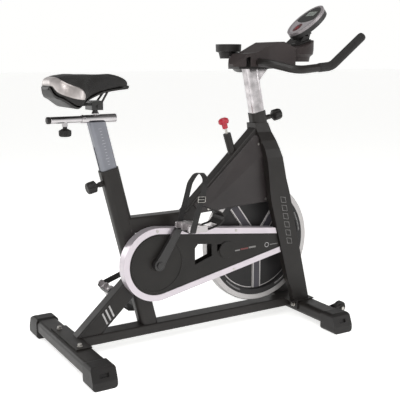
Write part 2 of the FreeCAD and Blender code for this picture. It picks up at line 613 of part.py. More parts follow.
def make_saddle():
    rear = value("saddle_rear")
    front = value("saddle_front")
    top = value("saddle_top")
    cushion = [(rear, 34, -42, -20), (rear + 8, 58, -52, -9), (rear + 26, 82, -68, -2), (rear + 51, 94, -84, 0),
               (rear + 78, 98, -96, 0), (rear + 98, 91, -84, -1), (rear + 121, 71, -72, -1),
               (rear + 146, 51, -64, -2), (rear + 186, 34, -52, -2), (rear + 226, 28, -46, -1),
               (rear + 256, 25, -43, -8), (front - 6, 18, -41, -18), (front, 11, -37, -26)]
    pad_solid = loft("cushion", [(x, half, top + low, top + high) for x, half, low, high in cushion], seat_section)
    node(pad_solid, "saddle_cushion")
    shell = [(x, half * 0.96, top + low - 6, top + low + 4) for x, half, low, high in cushion]
    shell_solid = loft("shell_solid", shell, shell_section)

    clamp = block("clamp", ("stem_x - 22", "stem_x + 16"), (-28, 28), ("slider_z + 28.2", 838))
    rails = []
    path = [(-512, 30, 858), (-468, 22, 826), (-385, 22, 828), (-352, 13, 874)]
    for side in (-1, 1):
        points = [(x, side * y, z) for x, y, z in path]
        rails.append(shape_node(f"rail_{side + 1}", pipe(points, (18, 18), 3.5)))
    rail_pair = group("rails", *rails)
    shell_cut = cut("shell_node", shell_solid, pad_solid, clamp)
    node(shell_cut, "saddle_shell")
    node(cut("rails_node", rail_pair, shell_solid, pad_solid), "saddle_rails")
    channels = []
    for side in (-1, 1):
        points = [(x, side * y, z) for x, y, z in path]
        channels.append(shape_node(f"rail_room_{side + 1}", pipe(points, (18, 18), 3.55)))
    stem = disc("clamp_stem", "stem_radius + fit", 790, "slider_z + 34.2", at("stem_x", 0, 0))
    bolt = disc("clamp_bolt", 5, -34, 34, at("stem_x", 0, "slider_z + 39", "x", 90))
    node(cut("clamp_node", fuse("clamp_solid", clamp, bolt), *channels, stem, pad_solid), "saddle_clamp")


# ---- drive ----

def make_flywheel():
    half = "wheel_half"
    rim = "(wheel_radius - rim_depth)"
    upper = [("hub_radius", "web_half"), (rim, "web_half"), (f"{rim} + 4", half), ("wheel_radius - 3", half),
             ("wheel_radius", f"{half} - 3")]
    lower = [(radius, f"-({height})") for radius, height in reversed(upper)]
    seat = [("bearing_radius", "-hub_half"), ("bearing_radius", -12), (12, -12), (12, 12), ("bearing_radius", 12),
            ("bearing_radius", "hub_half")]
    profile = seat + [("hub_radius", "hub_half")] + upper + lower + [("hub_radius", "-hub_half")]
    disc_body = turned("wheel_disc", profile, AXLE)
    spokes = []
    for k, angle in enumerate((270, 198, 126, 54, -18)):
        spokes.append(block(f"spoke_{k}", ("bearing_radius + 4", f"{rim} + 2"), ("-spoke_width / 2", "spoke_width / 2"),
                            ("-spoke_half", "spoke_half"), AXLE, at(0, 0, 0, "z", angle)))
    node(fuse("wheel_node", disc_body, *spokes), "flywheel")
    bearings = [ring(f"wheel_bearing_{k}", "bearing_radius", "axle_radius + fit", low, high, AXLE)
                for k, (low, high) in enumerate(((12, "hub_half"), ("-hub_half", -12)))]
    node(group("wheel_bearings", *bearings), "flywheel_bearings")
    node(disc("wheel_axle", "axle_radius", "-axle_plate_far - 6", "axle_plate_far + 6", AXLE), "flywheel_axle")


def pulley(name, radius, bore, web, frame):
    low = "belt_near"
    high = "belt_far"
    profile = [(bore, f"{low} + 2"), (f"{radius} - {web}", f"{low} + 2"), (f"{radius} - {web}", f"{low} - 1"),
               (f"{radius} + 3.5", f"{low} - 1"), (f"{radius} + 3.5", low), (radius, low), (radius, high),
               (f"{radius} + 3.5", high), (f"{radius} + 3.5", f"{high} + 1"), (f"{radius} - {web}", f"{high} + 1"),
               (f"{radius} - {web}", f"{high} - 2"), (bore, f"{high} - 2")]
    return turned(name, profile, frame)


def make_drive():
    sleeve = ring("pulley_sleeve", 20, 12, "hub_half", "belt_near + 4", AXLE)
    node(fuse("driven_node", pulley("driven", "small_pulley", 12, 6, AXLE), sleeve), "driven_pulley")
    node(pulley("driving", "big_pulley", "axle_radius + fit", 12, BRACKET), "drive_pulley")
    half = "crank_outer - 0.5"
    node(disc("crank_shaft", "axle_radius", f"-({half})", half, BRACKET), "crank_axle")
    bearings = [ring(f"bracket_bearing_{k}", "bearing_radius", "axle_radius + fit", low, high, BRACKET)
                for k, (low, high) in enumerate(((15, "bracket_half"), ("-bracket_half", -15)))]
    node(group("bracket_bearing_pair", *bearings), "bracket_bearings")
    make_belt()


def belt_outline(extra):
    """The belt's side outline round both pulleys, as tangent lines and arcs in row X and Z."""
    big = value("big_pulley + belt_gap") + extra
    small = value("small_pulley + belt_gap") + extra
    rear = VECTOR(value("bracket_x"), 0, value("bracket_z"))
    front = VECTOR(value("wheel_x"), 0, value("wheel_z"))
    along = front - rear
    lean = math.atan2(along.z, along.x)
    spread = math.acos((big - small) / along.Length)

    def spot(centre, radius, angle):
        return centre + VECTOR(radius * math.cos(angle), 0, radius * math.sin(angle))
    up = lean + spread
    down = lean - spread
    rear_top, rear_low = spot(rear, big, up), spot(rear, big, down)
    front_top, front_low = spot(front, small, up), spot(front, small, down)
    edges = [Part.LineSegment(rear_top, front_top).toShape(),
             Part.Arc(front_top, spot(front, small, lean), front_low).toShape(),
             Part.LineSegment(front_low, rear_low).toShape(),
             Part.Arc(rear_low, spot(rear, big, lean + math.pi), rear_top).toShape()]
    return Part.Face(Part.Wire(edges))


def make_belt():
    near = value("belt_near + 0.5")
    width = value("belt_far - belt_near - 1")
    face = belt_outline(value("belt_thickness")).cut(belt_outline(0))
    face.translate(VECTOR(0, -near, 0))
    node(shape_node("belt", face.extrude(VECTOR(0, -width, 0))), "drive_belt")


def make_cranks():
    arms, bolts, axles = [], [], []
    for k, turn in enumerate((0, 180)):
        frame = (BRACKET, at(0, 0, 0, "z", f"crank_angle + {turn}"))
        side = 1 - 2 * k
        inner, outer = ("crank_inner", "crank_outer") if side > 0 else ("-crank_outer", "-crank_inner")
        plate = new_body(f"crank_plate_{k}", *frame)
        sketch = outline(new_sketch(plate, offset=(0, 0, inner)),
                         [(0, -17), ("crank_length", -11), ("crank_length", 11), (0, 17)])
        pad(plate, sketch, "crank_outer - crank_inner")
        hub = disc(f"crank_hub_{k}", 19, inner, outer, *frame)
        eye = disc(f"crank_eye_{k}", 15, inner, outer, *frame, at("crank_length", 0, 0))
        hub_bore = disc(f"crank_hub_bore_{k}", "axle_radius + fit", -100, 100, *frame)
        eye_bore = disc(f"crank_eye_bore_{k}", 6.05, -100, 100, *frame, at("crank_length", 0, 0))
        arms.append(cut(f"crank_arm_{k}", fuse(f"crank_arm_solid_{k}", plate, hub, eye), hub_bore, eye_bore))
        low, high = ("crank_outer", "crank_outer + 5") if side > 0 else ("-crank_outer - 5", "-crank_outer")
        bolts.append(hexagon(f"crank_bolt_{k}", 11, low, high, *frame))
        low, high = ("crank_inner", "pedal_y + pedal_half")
        if side < 0:
            low, high = f"-({high})", f"-({low})"
        shaft = disc(f"pedal_shaft_{k}", 6, low, high, *frame, at("crank_length", 0, 0))
        low, high = ("crank_outer", "crank_outer + 5") if side > 0 else ("-crank_outer - 5", "-crank_outer")
        flats = hexagon(f"pedal_flats_{k}", 9.5, low, high, *frame, at("crank_length", 0, 0))
        axles.append(fuse(f"pedal_axle_{k}", shaft, flats))
    node(group("crank_pair", *arms), "crank_arms")
    node(group("crank_bolt_pair", *bolts), "crank_bolts")
    node(group("pedal_axle_pair", *axles), "pedal_axles")


def make_pedal(side, turn, tilt, middle):
    """One pedal with its cage and strap. Local x is forward, y up and z towards the rider's right."""
    frame = (BRACKET, at(0, 0, 0, "z", f"crank_angle + {turn}"),
             at("crank_length", 0, 0, "z", f"-crank_angle - {turn}"), at(0, 0, middle, "z", tilt))
    body = bar(f"pedal_{side}_block", "pedal_length", "pedal_height - 4", 6, "2 * pedal_half", *frame,
               start="-pedal_half")
    spindle = disc(f"pedal_{side}_spindle", "pedal_height / 2", "-pedal_half", "pedal_half", *frame)
    bore = disc(f"pedal_{side}_bore", 6.05, -80, 80, *frame)
    windows = [block(f"pedal_{side}_window_{k}", (low, high), (-30, 30), (start, end), *frame)
               for k, (low, high, start, end) in enumerate(((17, 37, 3, 38), (-37, -17, 3, 38), (17, 37, -38, -3),
                                                            (-37, -17, -38, -3)))]
    node(cut(f"pedal_{side}_node", fuse(f"pedal_{side}_solid", body, spindle), bore, *windows), f"pedal_{side}")

    cage = new_body(f"cage_{side}", *frame)
    points = [(36.2, -9), (50, -6), (90, 6), (105, 22), (107, 36), (99, 49), (84, 56), (40, 70), (38, 66.5),
              (83, 52.3), (95, 46), (103, 35), (101, 24), (88, 9.5), (48, -2.5), (36.2, -5.5)]
    pad(cage, outline(new_sketch(cage), points), 72, symmetric=True)
    hole = block(f"cage_{side}_hole", (52, 91), (-20, 90), (-26, 26), *frame)
    node(cut(f"cage_{side}_node", cage, hole), f"toe_cage_{side}")

    stand = (*frame, at(-19, 0, 0, "x", -90))
    crown = 130
    loops = []
    for name, inset, width in (("outer", 0, 22), ("inner", 1.8, 30)):
        loop = new_body(f"strap_{side}_{name}", *stand)
        half = 49 - inset
        low = inset - 15.2
        bend = 8 - inset
        nip = bend * (1 - math.sqrt(0.5))
        part = half * math.sqrt(0.5)
        points = [(half - bend, low, bend, half - nip, low + nip), (half, low + bend),
                  (half, crown, half, part, crown + part),
                  (0, crown + half, half, -part, crown + part), (-half, crown),
                  (-half, low + bend, bend, nip - half, low + nip), (bend - half, low)]
        pad(loop, outline(new_sketch(loop, "YZ_Plane"), points), width, symmetric=True)
        loops.append(loop)
    node(cut(f"strap_{side}_node", *loops), f"toe_strap_{side}")


# ---- belt guard and side panels ----

GUARD_BACK = at(0, "-guard_inner", 0, "x", 90)


def guard_points(inset):
    """The guard's outline moved inwards, in row X and Z: one round end and two straight edges."""
    radius = f"(guard_radius - ({inset}))"
    drop = "tan(guard_drop)"
    rise = "tan(guard_rise)"
    top = (f"guard_x + {radius} * sin(guard_drop)", f"guard_z + {radius} * cos(guard_drop)")
    low = (f"guard_x + {radius} * sin(guard_rise)", f"guard_z - {radius} * cos(guard_rise)")
    nose = "(guard_nose_x - 1)"
    front_top = (f"guard_front_x", f"{top[1]} - (guard_front_x - ({top[0]})) * {drop}")
    front_low = (nose, f"{low[1]} + ({nose} - ({low[0]})) * {rise}")
    return [(*top, radius, f"guard_x - {radius}", "guard_z"), low, front_low, front_top]


def guard_prism(name, inset, start, length):
    body = new_body(name, GUARD_BACK)
    pad(body, outline(new_sketch(body, offset=(0, 0, start)), guard_points(inset)), length)
    return body


def window(name, corners):
    body = new_body(name, GUARD_BACK)
    pad(body, outline(new_sketch(body, offset=(0, 0, 2)), corners), 60)
    return body


def make_guard():
    depth = "guard_face - guard_inner"
    outer = guard_prism("guard_outer", 0, 0, depth)
    inner = guard_prism("guard_inside", "guard_wall", 2, f"{depth} - 2 - guard_wall")
    band = guard_prism("guard_band_hole", "guard_band", f"{depth} - 10", 40)
    shaft_hole = disc("guard_shaft_hole", 14, -10, 80, BRACKET)
    slab = prism("guard_front_cut", [(253, 448), (600, 448), (600, 60), (357, 60)], 200)
    trim = cut("guard_trim_cut", outer, inner, band, place(slab, at(-2, 0, 0)),
               guard_prism("guard_open_back", "guard_wall", -1, 10))
    node(trim, "guard_trim")

    face_depth = f"{depth} - 5"
    face = guard_prism("guard_plate", "guard_band + 0.1", face_depth, 2.5)
    lip = guard_prism("guard_lip", "guard_wall + 0.1", f"{depth} - guard_wall - 2.6", 2.5)
    boss = disc("guard_boss", "boss_radius", f"{face_depth} + 1", f"{depth} + 1", GUARD_BACK, at("boss_x", "boss_z", 0))
    ridge = ring("guard_ridge", 97, 93, f"{face_depth} + 2", f"{depth} - 1", GUARD_BACK, at("bracket_x", "bracket_z", 0))
    ridge_near = ring("guard_ridge_near", 26, 22, f"{face_depth} + 2", f"{depth} - 1", GUARD_BACK,
                      at("bracket_x", "bracket_z", 0))
    main_window = window("guard_window", [(-66, 326), (-54, 339), (3, 333), (3, 290), (-66, 267)])
    small_window = window("guard_corner", [(24, 329), (24, 300), (52, 326)])
    slab_near = prism("guard_front_near", [(251, 448), (600, 448), (600, 60), (355, 60)], 200)
    cover = fuse("guard_cover_solid", face, lip, ridge, ridge_near)
    cover = cut("guard_cover_cut", cover, shaft_hole, main_window, small_window, slab_near)
    node(fuse("guard_cover_node", cover, boss), "guard_cover")

    back = guard_prism("guard_back_plate", "guard_wall + 0.1", 0, 1.6)
    shaft_back = disc("guard_back_hole", 14, -10, 80, BRACKET)
    hub_back = disc("guard_hub_hole", 40, -10, 80, AXLE)
    open_back = window("guard_back_window", [(-66, 326), (-54, 339), (3, 333), (3, 290), (-66, 267)])
    place(open_back, at(0, 10, 0), GUARD_BACK)
    back_front = prism("guard_back_front", [(200, 448), (600, 448), (600, 60), (200, 60)], 200)
    node(cut("guard_back_node", back, shaft_back, hub_back, open_back, back_front), "guard_back")


def slab_between(name, corners, faces, thickness):
    """A thin facetted sheet from outer corners, closed behind them at the given thickness in Y."""
    outer = [VECTOR(*corner) for corner in corners]
    inner = [VECTOR(x, y + thickness, z) for x, y, z in corners]
    count = {}
    for a, b, c in faces:
        for edge in ((a, b), (b, c), (c, a)):
            count[tuple(sorted(edge))] = count.get(tuple(sorted(edge)), 0) + 1
    sides = [edge for edge, uses in count.items() if uses == 1]
    triangles = [(outer[a], outer[b], outer[c]) for a, b, c in faces]
    triangles += [(inner[a], inner[c], inner[b]) for a, b, c in faces]
    for a, b in sides:
        triangles += [(outer[a], outer[b], inner[b]), (outer[a], inner[b], inner[a])]
    shell = Part.makeShell([Part.Face(Part.makePolygon([*t, t[0]])) for t in triangles])
    solid = Part.makeSolid(shell)
    if solid.Volume < 0:
        solid.reverse()
    return shape_node(name, solid)


def make_side_panels(fork_side, fork_end):
    corners = [(-52, -27.5, 472), (202, -27.5, 702), (5, -32, 462), (245, -43, 640), (-24, -29.5, 440),
               (262, -36, 456), (226, -36, 690)]
    faces = [(0, 1, 2), (1, 3, 2), (1, 6, 3), (0, 2, 4), (2, 3, 5), (2, 5, 4)]
    near = slab_between("panel_near", corners, faces, 2.2)
    panels = group("panel_pair", near, mirrored("panel_far", near))
    envelope = common("fork_envelope_half", fork_side, fork_end)
    both = group("fork_envelopes", envelope, mirrored("fork_envelope_near", envelope))
    trimmed = cut("panel_node", panels, both)
    node(trimmed, "side_panels")
    return trimmed


def make_cover_screws(panels):
    heads = []
    face = "guard_face - guard_inner"
    for k, (x, z) in enumerate(((-212, 403), (101, 370), (93, 229))):
        heads.append(disc(f"guard_screw_{k}", 4.5, face, f"{face} + 1.5", GUARD_BACK, at(x, z, 0)))
    for k, (x, z, y) in enumerate(((214, 668, 35), (248, 466, 36.5), (6, 452, 31.5))):
        near = disc(f"panel_screw_{k}", 4.5, y, y + 2, at(x, 0, z, "x", 90))
        heads += [near, mirrored(f"panel_screw_far_{k}", near)]
    node(cut("screws_node", group("screws", *heads), panels), "cover_screws")


# ---- brake ----

def make_brake():
    tread = "wheel_radius + brake_gap"
    low = "(wheel_radius + brake_gap)"
    pad_block = block("pad_block", (-30, 30), (-13, 13), (f"{low} - 4", f"{low} + 8"), BRAKE)
    wheel = disc("pad_wheel", tread, -20, 20, AXLE)
    node(cut("pad_node", pad_block, wheel), "brake_pad")
    holder = block("holder", (-31, 31), (-14, 14), (f"{low} + 8", f"{low} + 12"), BRAKE)
    rod = disc("brake_rod_body", "rod_radius", f"{low} + 10", 470, BRAKE)
    collar = disc("brake_collar", 9, f"{low} + 11", f"{low} + 24", BRAKE)
    node(fuse("rod_node", holder, rod, collar), "brake_rod")
    housing = ring("housing", "housing_radius", "rod_radius + fit", 292, "housing_top", BRAKE)
    node(housing, "brake_housing")
    knob = turned("knob", [("rod_radius + fit", 445), (10, 445), (10, 460), (17, 463), (19.5, 469), (18, 477),
                           (11, 482), (0, 483), (0, 470.1), ("rod_radius + fit", 470.1)], BRAKE)
    node(knob, "brake_knob")


# ---- handlebar, tray and console ----

BAR_HALF = [(0, 0), (6, 112), (70, 186), (213, 190), (350.3, 190)]
BAR_HEIGHTS = [0, -5, -28, -15, 89]


def bar_spots():
    x = value("bar_x")
    z = value("bar_z")
    return [(x + along, -out, z + up) for (along, out), up in zip(BAR_HALF, BAR_HEIGHTS)]


def bar_pipe(name, radius):
    near = bar_spots()
    far = [(x, -y, z) for x, y, z in near]
    bends = (60, 70, 50, 300, 50, 70, 60)
    return shape_node(name, pipe(near[::-1] + far[1:], bends, radius))


def make_handlebar():
    radius = value("bar_radius")
    node(cut("bar_node", bar_pipe("bar_solid", radius), bar_pipe("bar_inside", radius - 2)), "handlebar")
    grips = []
    spots = [VECTOR(*spot) for spot in bar_spots()]
    start = spots[2] + (spots[3] - spots[2]) * 0.6
    end = spots[4] + (spots[4] - spots[3]).normalize() * 5
    for side in (1, -1):
        path = [(point.x, side * point.y, point.z) for point in (start, spots[3], end)]
        sleeve = shape_node(f"grip_solid_{side + 1}", pipe(path, (60,), value("grip_radius")))
        grips.append(sleeve)
    passage = bar_pipe("bar_passage", radius + 0.05)
    node(cut("grip_node", group("grip_pair", *grips), passage), "grips")
    return passage


def make_top(passage):
    plate = block("plate", (128, 272), (-34, 34), ("bar_plate_z", "bar_plate_z + 8"))
    clamp = block("bar_clamp", (174, 218), (-24, 24), ("bar_plate_z + 8", "bar_z + bar_radius + 2"))
    node(cut("plate_node", fuse("plate_solid", plate, clamp), passage), "bar_plate")

    rack = prism("tray_rack", [(116, "tray_bottom"), (116, 950), (156, 985), (186, 989), (264, 1026), (300, 1027),
                               (352, 1005), (352, "tray_bottom")], 160)
    plan = new_body("tray_plan")
    points = [(116, -16), (134, -42), (166, "8 - tray_half"), (236, "-tray_half"), (352, "-tray_half"),
              (352, "tray_half"), (236, "tray_half"), (166, "tray_half - 8"), (134, 42), (116, 16)]
    pad(plan, outline(new_sketch(plan, offset=(0, 0, "tray_bottom - 5")), points), 120)
    inside = prism("tray_inside", [(150, 930), (150, 971), (190, 983), (266, 1020), (298, 1021), (340, 1003),
                                   (340, 930)], "2 * tray_half - 18")
    shell = cut("tray_shell", common("tray_body", rack, plan), inside)
    drum = turned("tray_drum", [(0, 957), (50, 957), (53, 974), (64, 984), ("drum_radius", 1000),
                                ("drum_radius", 1045), (0, 1045)], at("drum_x", 0, 0))
    hollow_drum = turned("tray_drum_inside", [(0, 956), (46, 956), (49, 976), (60, 986), ("drum_radius - 4", 1000),
                                              ("drum_radius - 4", 1045), (0, 1045)], at("drum_x", 0, 0))
    over = block("over_drum", (-150, 150), (-100, 100), (0, 100), at("drum_x", 0, 1015, "y", "-drum_lean"))
    over_inside = block("over_drum_inside", (-150, 150), (-100, 100), (0, 100),
                        at("drum_x", 0, 1010, "y", "-drum_lean"))
    drum_room = cut("tray_drum_room", hollow_drum, over_inside)
    drum_top = cut("tray_drum_top", drum, over)
    channel = bar_pipe("tray_bar_room", value("bar_radius") + 0.4)
    solid = cut("tray_hollow", fuse("tray_solid", cut("tray_shell_end", shell, drum_top), drum_top), drum_room)
    node(cut("tray_node", solid, channel), "tray")

    cup = turned("cup", [(0, "cup_bottom"), (31, "cup_bottom"), (36, "cup_top - 30"), (46, "cup_top - 26"),
                         (47, "cup_top"), (43, "cup_top"), (42, "cup_top - 22"), (33, "cup_top - 26"),
                         (28, "cup_bottom + 3"), (0, "cup_bottom + 3")], at("cup_x", "cup_y", 0))
    arm = block("cup_arm", (166, 202), ("tray_half + 0.2", "cup_y - 26"), ("cup_bottom + 2", "cup_bottom + 9"))
    cup_inside = disc("cup_inside", 29, "cup_bottom + 3", "cup_top + 5", at("cup_x", "cup_y", 0))
    node(fuse("cup_node", cup, cut("cup_arm_trim", arm, cup_inside)), "bottle_holder")


def make_console():
    top = at("drum_x", 0, 1015.2, "y", "-drum_lean")
    foot = block("console_foot", (-2, 54), (-26, 26), (0, 7), top)
    arm = prism("console_arm", [(404, 1018), (444, 1031), ("hinge_x + 10", "hinge_z - 4"),
                                ("hinge_x + 1", "hinge_z + 8"), ("hinge_x - 9", "hinge_z + 2"), (412, 1036)], 36)
    under = block("console_under", (-60, 80), (-60, 60), (-40, 0), top)
    hinge = at("hinge_x", 0, "hinge_z", "x", 90)
    barrel = disc("console_barrel", 9, -18, 18, hinge)
    bore = disc("console_bore", 3.05, -30, 30, hinge)
    node(cut("console_bracket_node", fuse("console_bracket_solid", arm, foot, barrel), bore, under), "console_bracket")

    pod = new_body("pod", CONSOLE)
    sketch = new_sketch(pod, offset=(0, 0, -18))
    oval(sketch, "console_length / 2", "console_width / 2")
    pad(pod, sketch, 27)
    recess = new_body("pod_recess", CONSOLE)
    sketch = new_sketch(recess, offset=(0, 0, 7))
    oval(sketch, "console_length / 2 - 10", "console_width / 2 - 9")
    pad(recess, sketch, 10)
    ears = [block(f"ear_{k}", (-9, 9), (low, high), (-6, 16), hinge_frame())
            for k, (low, high) in enumerate(((-25, -18.4), (18.4, 25)))]
    pin = disc("ear_pin", 3, -25, 25, hinge)
    button_hole = disc("button_hole", 9.3, 0, 20, CONSOLE, at(-48, 0, 0))
    solid = fuse("pod_solid", pod, *ears, pin)
    node(cut("pod_node", solid, recess, button_hole), "console_body")

    screen = new_body("screen", CONSOLE)
    sketch = new_sketch(screen, offset=(0, 0, 7))
    oval(sketch, "console_length / 2 - 10.2", "console_width / 2 - 9.2")
    pad(screen, sketch, 1.6)
    node(cut("screen_node", screen, button_hole), "console_screen")
    button = turned("button", [(0, 2.2), (9, 2.2), (9, 10), (8, 11.2), (0, 11.6)], CONSOLE, at(-48, 0, 0))
    node(button, "console_button")


def hinge_frame():
    """The console's hinge axis, with local z towards the console's back."""
    return at("hinge_x", 0, "hinge_z", "y", "-console_tilt")


def oval(sketch, half_length, half_width):
    """An ellipse about the sketch's origin, with its axes held by the two dimensions."""
    index = sketch.addGeometry(Part.Ellipse(VECTOR(0, 0, 0), value(half_length), value(half_width)))
    sketch.exposeInternalGeometry(index)
    sketch.addConstraint(Sketcher.Constraint("Coincident", index, 3, -1, 1))
    sketch.addConstraint(Sketcher.Constraint("Horizontal", index + 1))
    datum(sketch, "Distance", index + 1, f"2 * ({half_length})")
    datum(sketch, "Distance", index + 2, f"2 * ({half_width})")


fill_sheet()
REAR_FOOT, FRONT_FOOT = make_stabilizers()
make_end_caps()
make_lower_beam(REAR_FOOT, FRONT_FOOT)
make_fasteners()
make_wheels()
HEAD_SOLID, DIAGONAL_SOLID = make_frame_tubes()
FORK_SIDE, FORK_END = make_fork(HEAD_SOLID, DIAGONAL_SOLID)
make_bushings()
make_posts()
make_pins()
make_slider()
make_saddle()
make_flywheel()
make_drive()
make_cranks()
make_pedal("right", 0, "right_tilt", "pedal_y")
make_pedal("left", 180, "-left_tilt", "-pedal_y")
make_guard()
make_cover_screws(make_side_panels(FORK_SIDE, FORK_END))
make_brake()
make_top(make_handlebar())
make_console()

SHEET.clear("D1")
DOC.recompute()
for item in DOC.Objects:
    if "Invalid" in item.State or "Error" in item.State:
        raise RuntimeError(f"{item.Name} is not valid: {item.State}")
os.makedirs("parts", exist_ok=True)
for item in NODES:
    shape = item.Shape
    if shape.isNull() or not shape.isValid() or not shape.Solids:
        raise RuntimeError(f"{item.Label} has no valid solid")
    shape.exportStep(f"parts/{item.Label}.step")
print(len(NODES), "nodes written")
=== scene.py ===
import math

import bmesh
import bpy
from mathutils import Matrix, Vector
from mathutils.bvhtree import BVHTree


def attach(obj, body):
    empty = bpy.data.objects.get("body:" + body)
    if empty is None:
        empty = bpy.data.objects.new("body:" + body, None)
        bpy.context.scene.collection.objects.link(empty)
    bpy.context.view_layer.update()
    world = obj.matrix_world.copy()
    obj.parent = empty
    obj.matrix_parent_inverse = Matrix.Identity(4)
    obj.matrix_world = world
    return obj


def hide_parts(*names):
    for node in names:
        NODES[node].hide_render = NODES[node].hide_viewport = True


# Looks of the exercise bike. Metres, +X forward, -Y the rider's right, +Z up.

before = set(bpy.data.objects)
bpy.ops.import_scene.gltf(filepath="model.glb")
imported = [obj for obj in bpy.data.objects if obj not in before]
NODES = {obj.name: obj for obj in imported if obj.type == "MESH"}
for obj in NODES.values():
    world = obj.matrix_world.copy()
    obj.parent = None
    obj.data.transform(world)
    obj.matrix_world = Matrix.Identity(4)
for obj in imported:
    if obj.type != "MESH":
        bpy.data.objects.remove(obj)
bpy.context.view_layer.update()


# ---- shader helpers ----

# Places of the Mix node's amount, first, second and result sockets, for numbers and for colours.
MIX_SOCKETS = {"FLOAT": (0, 2, 3, 0), "RGBA": (0, 6, 7, 2)}


class Look:
    """A node material around one Principled shader, with small helpers that return sockets."""

    def __init__(self, name, metal=0.0, coat=0.0, coat_rough=0.1, sheen=0.0, specular=0.5):
        self.material = bpy.data.materials.new(name)
        self.material.use_nodes = True
        self.tree = self.material.node_tree
        self.shader = self.tree.nodes["Principled BSDF"]
        self.shader.inputs["Metallic"].default_value = metal
        self.shader.inputs["Coat Weight"].default_value = coat
        self.shader.inputs["Coat Roughness"].default_value = coat_rough
        self.shader.inputs["Sheen Weight"].default_value = sheen
        self.shader.inputs["Specular IOR Level"].default_value = specular
        self.where = self.add("ShaderNodeTexCoord").outputs["Object"]

    def add(self, kind, **settings):
        item = self.tree.nodes.new(kind)
        for key, setting in settings.items():
            setattr(item, key, setting)
        return item

    def feed(self, socket, source):
        if isinstance(source, bpy.types.NodeSocket):
            self.tree.links.new(source, socket)
        elif isinstance(source, (tuple, list)):
            socket.default_value = (*source, 1.0)[:len(socket.default_value)]
        else:
            socket.default_value = source

    def math(self, operation, *sources):
        item = self.add("ShaderNodeMath", operation=operation)
        for socket, source in zip(item.inputs, sources):
            self.feed(socket, source)
        return item.outputs[0]

    def dot(self, point, direction):
        """How far a place lies from a point along a direction."""
        away = self.add("ShaderNodeVectorMath", operation="SUBTRACT")
        self.feed(away.inputs[0], self.where)
        away.inputs[1].default_value = point
        along = self.add("ShaderNodeVectorMath", operation="DOT_PRODUCT")
        self.feed(along.inputs[0], away.outputs[0])
        along.inputs[1].default_value = direction
        return along.outputs["Value"]

    def step(self, source, low, high):
        """0 below low, 1 above high, and a straight ramp between them."""
        item = self.add("ShaderNodeMapRange")
        self.feed(item.inputs["Value"], source)
        item.inputs["From Min"].default_value = low
        item.inputs["From Max"].default_value = high
        return item.outputs[0]

    def noise(self, scale, detail=3.0, stretch=(1, 1, 1)):
        place = self.add("ShaderNodeMapping")
        self.feed(place.inputs["Vector"], self.where)
        place.inputs["Scale"].default_value = stretch
        item = self.add("ShaderNodeTexNoise")
        self.feed(item.inputs["Vector"], place.outputs[0])
        item.inputs["Scale"].default_value = scale
        item.inputs["Detail"].default_value = detail
        return item.outputs["Fac"]

    def mixed(self, kind, *sources):
        item = self.add("ShaderNodeMix", data_type=kind)
        *places, result = MIX_SOCKETS[kind]
        for place, source in zip(places, sources):
            self.feed(item.inputs[place], source)
        return item.outputs[result]

    def mix(self, amount, first, second):
        """From one colour to another."""
        return self.mixed("RGBA", amount, first, second)

    def blend(self, amount, first, second):
        """From one number to another."""
        return self.mixed("FLOAT", amount, first, second)

    def colour(self, source):
        self.feed(self.shader.inputs["Base Color"], source)

    def rough(self, source):
        self.feed(self.shader.inputs["Roughness"], source)

    def relief(self, height, distance, strength=1.0, edge=0.0012):
        """Bump over a rounded-edge normal, which is returned."""
        round_edge = self.add("ShaderNodeBevel", samples=3)
        round_edge.inputs["Radius"].default_value = edge
        bump = self.add("ShaderNodeBump")
        bump.inputs["Distance"].default_value = distance
        bump.inputs["Strength"].default_value = strength
        self.feed(bump.inputs["Height"], height)
        self.feed(bump.inputs["Normal"], round_edge.outputs[0])
        self.feed(self.shader.inputs["Normal"], bump.outputs[0])
        return round_edge.outputs[0]

    def edges(self, normal, low=0.01, high=0.12):
        """Where a surface turns a corner, broken up by noise."""
        flat = self.add("ShaderNodeNewGeometry")
        turn = self.add("ShaderNodeVectorMath", operation="DOT_PRODUCT")
        self.feed(turn.inputs[0], normal)
        self.feed(turn.inputs[1], flat.outputs["Normal"])
        bent = self.step(self.math("SUBTRACT", 1.0, turn.outputs["Value"]), low, high)
        return self.math("MULTIPLY", bent, self.step(self.noise(55.0, 4.0), 0.42, 0.68))


def plain(name, tone, wear_and_highlight=None, rough=(0.35, 0.5), grain=900.0, depth=0.00012, patch=9.0,
          spread=0.22, stretch=(1, 1, 1), edge=0.0012, **shader):
    """The common finish: a tone with patches, uneven gloss, a fine grain and lighter edges, part
    wear and part painted highlight.
    """
    look = Look(name, **shader)
    normal = look.relief(look.noise(grain, 2.0, stretch), depth, 0.6, edge)
    darker = tuple(c * (1 - spread) for c in tone)
    lighter = tuple(min(c * (1 + spread), 1.0) for c in tone)
    base = look.mix(look.step(look.noise(patch, 4.0), 0.3, 0.7), darker, lighter)
    # Lighter colour along corners: part wear, part painted highlight where edges catch the light.
    if wear_and_highlight:
        base = look.mix(look.edges(normal), base, wear_and_highlight)
    look.base = base
    look.colour(base)
    look.gloss = look.blend(look.noise(patch * 3.1, 5.0, stretch), *rough)
    look.rough(look.gloss)
    return look


# ---- frames used by both the looks and the added pieces ----

def turned_y(point, degrees):
    """A local frame at a point: +Z leans back and +X tips up by the angle."""
    return Matrix.Translation(point) @ Matrix.Rotation(math.radians(-degrees), 4, "Y")


SEAT = turned_y((-0.2224, 0, 0.070), 13.77)
CONSOLE = turned_y((0.446, 0, 1.101), 38)
WHEEL = Vector((0.230, 0, 0.303))


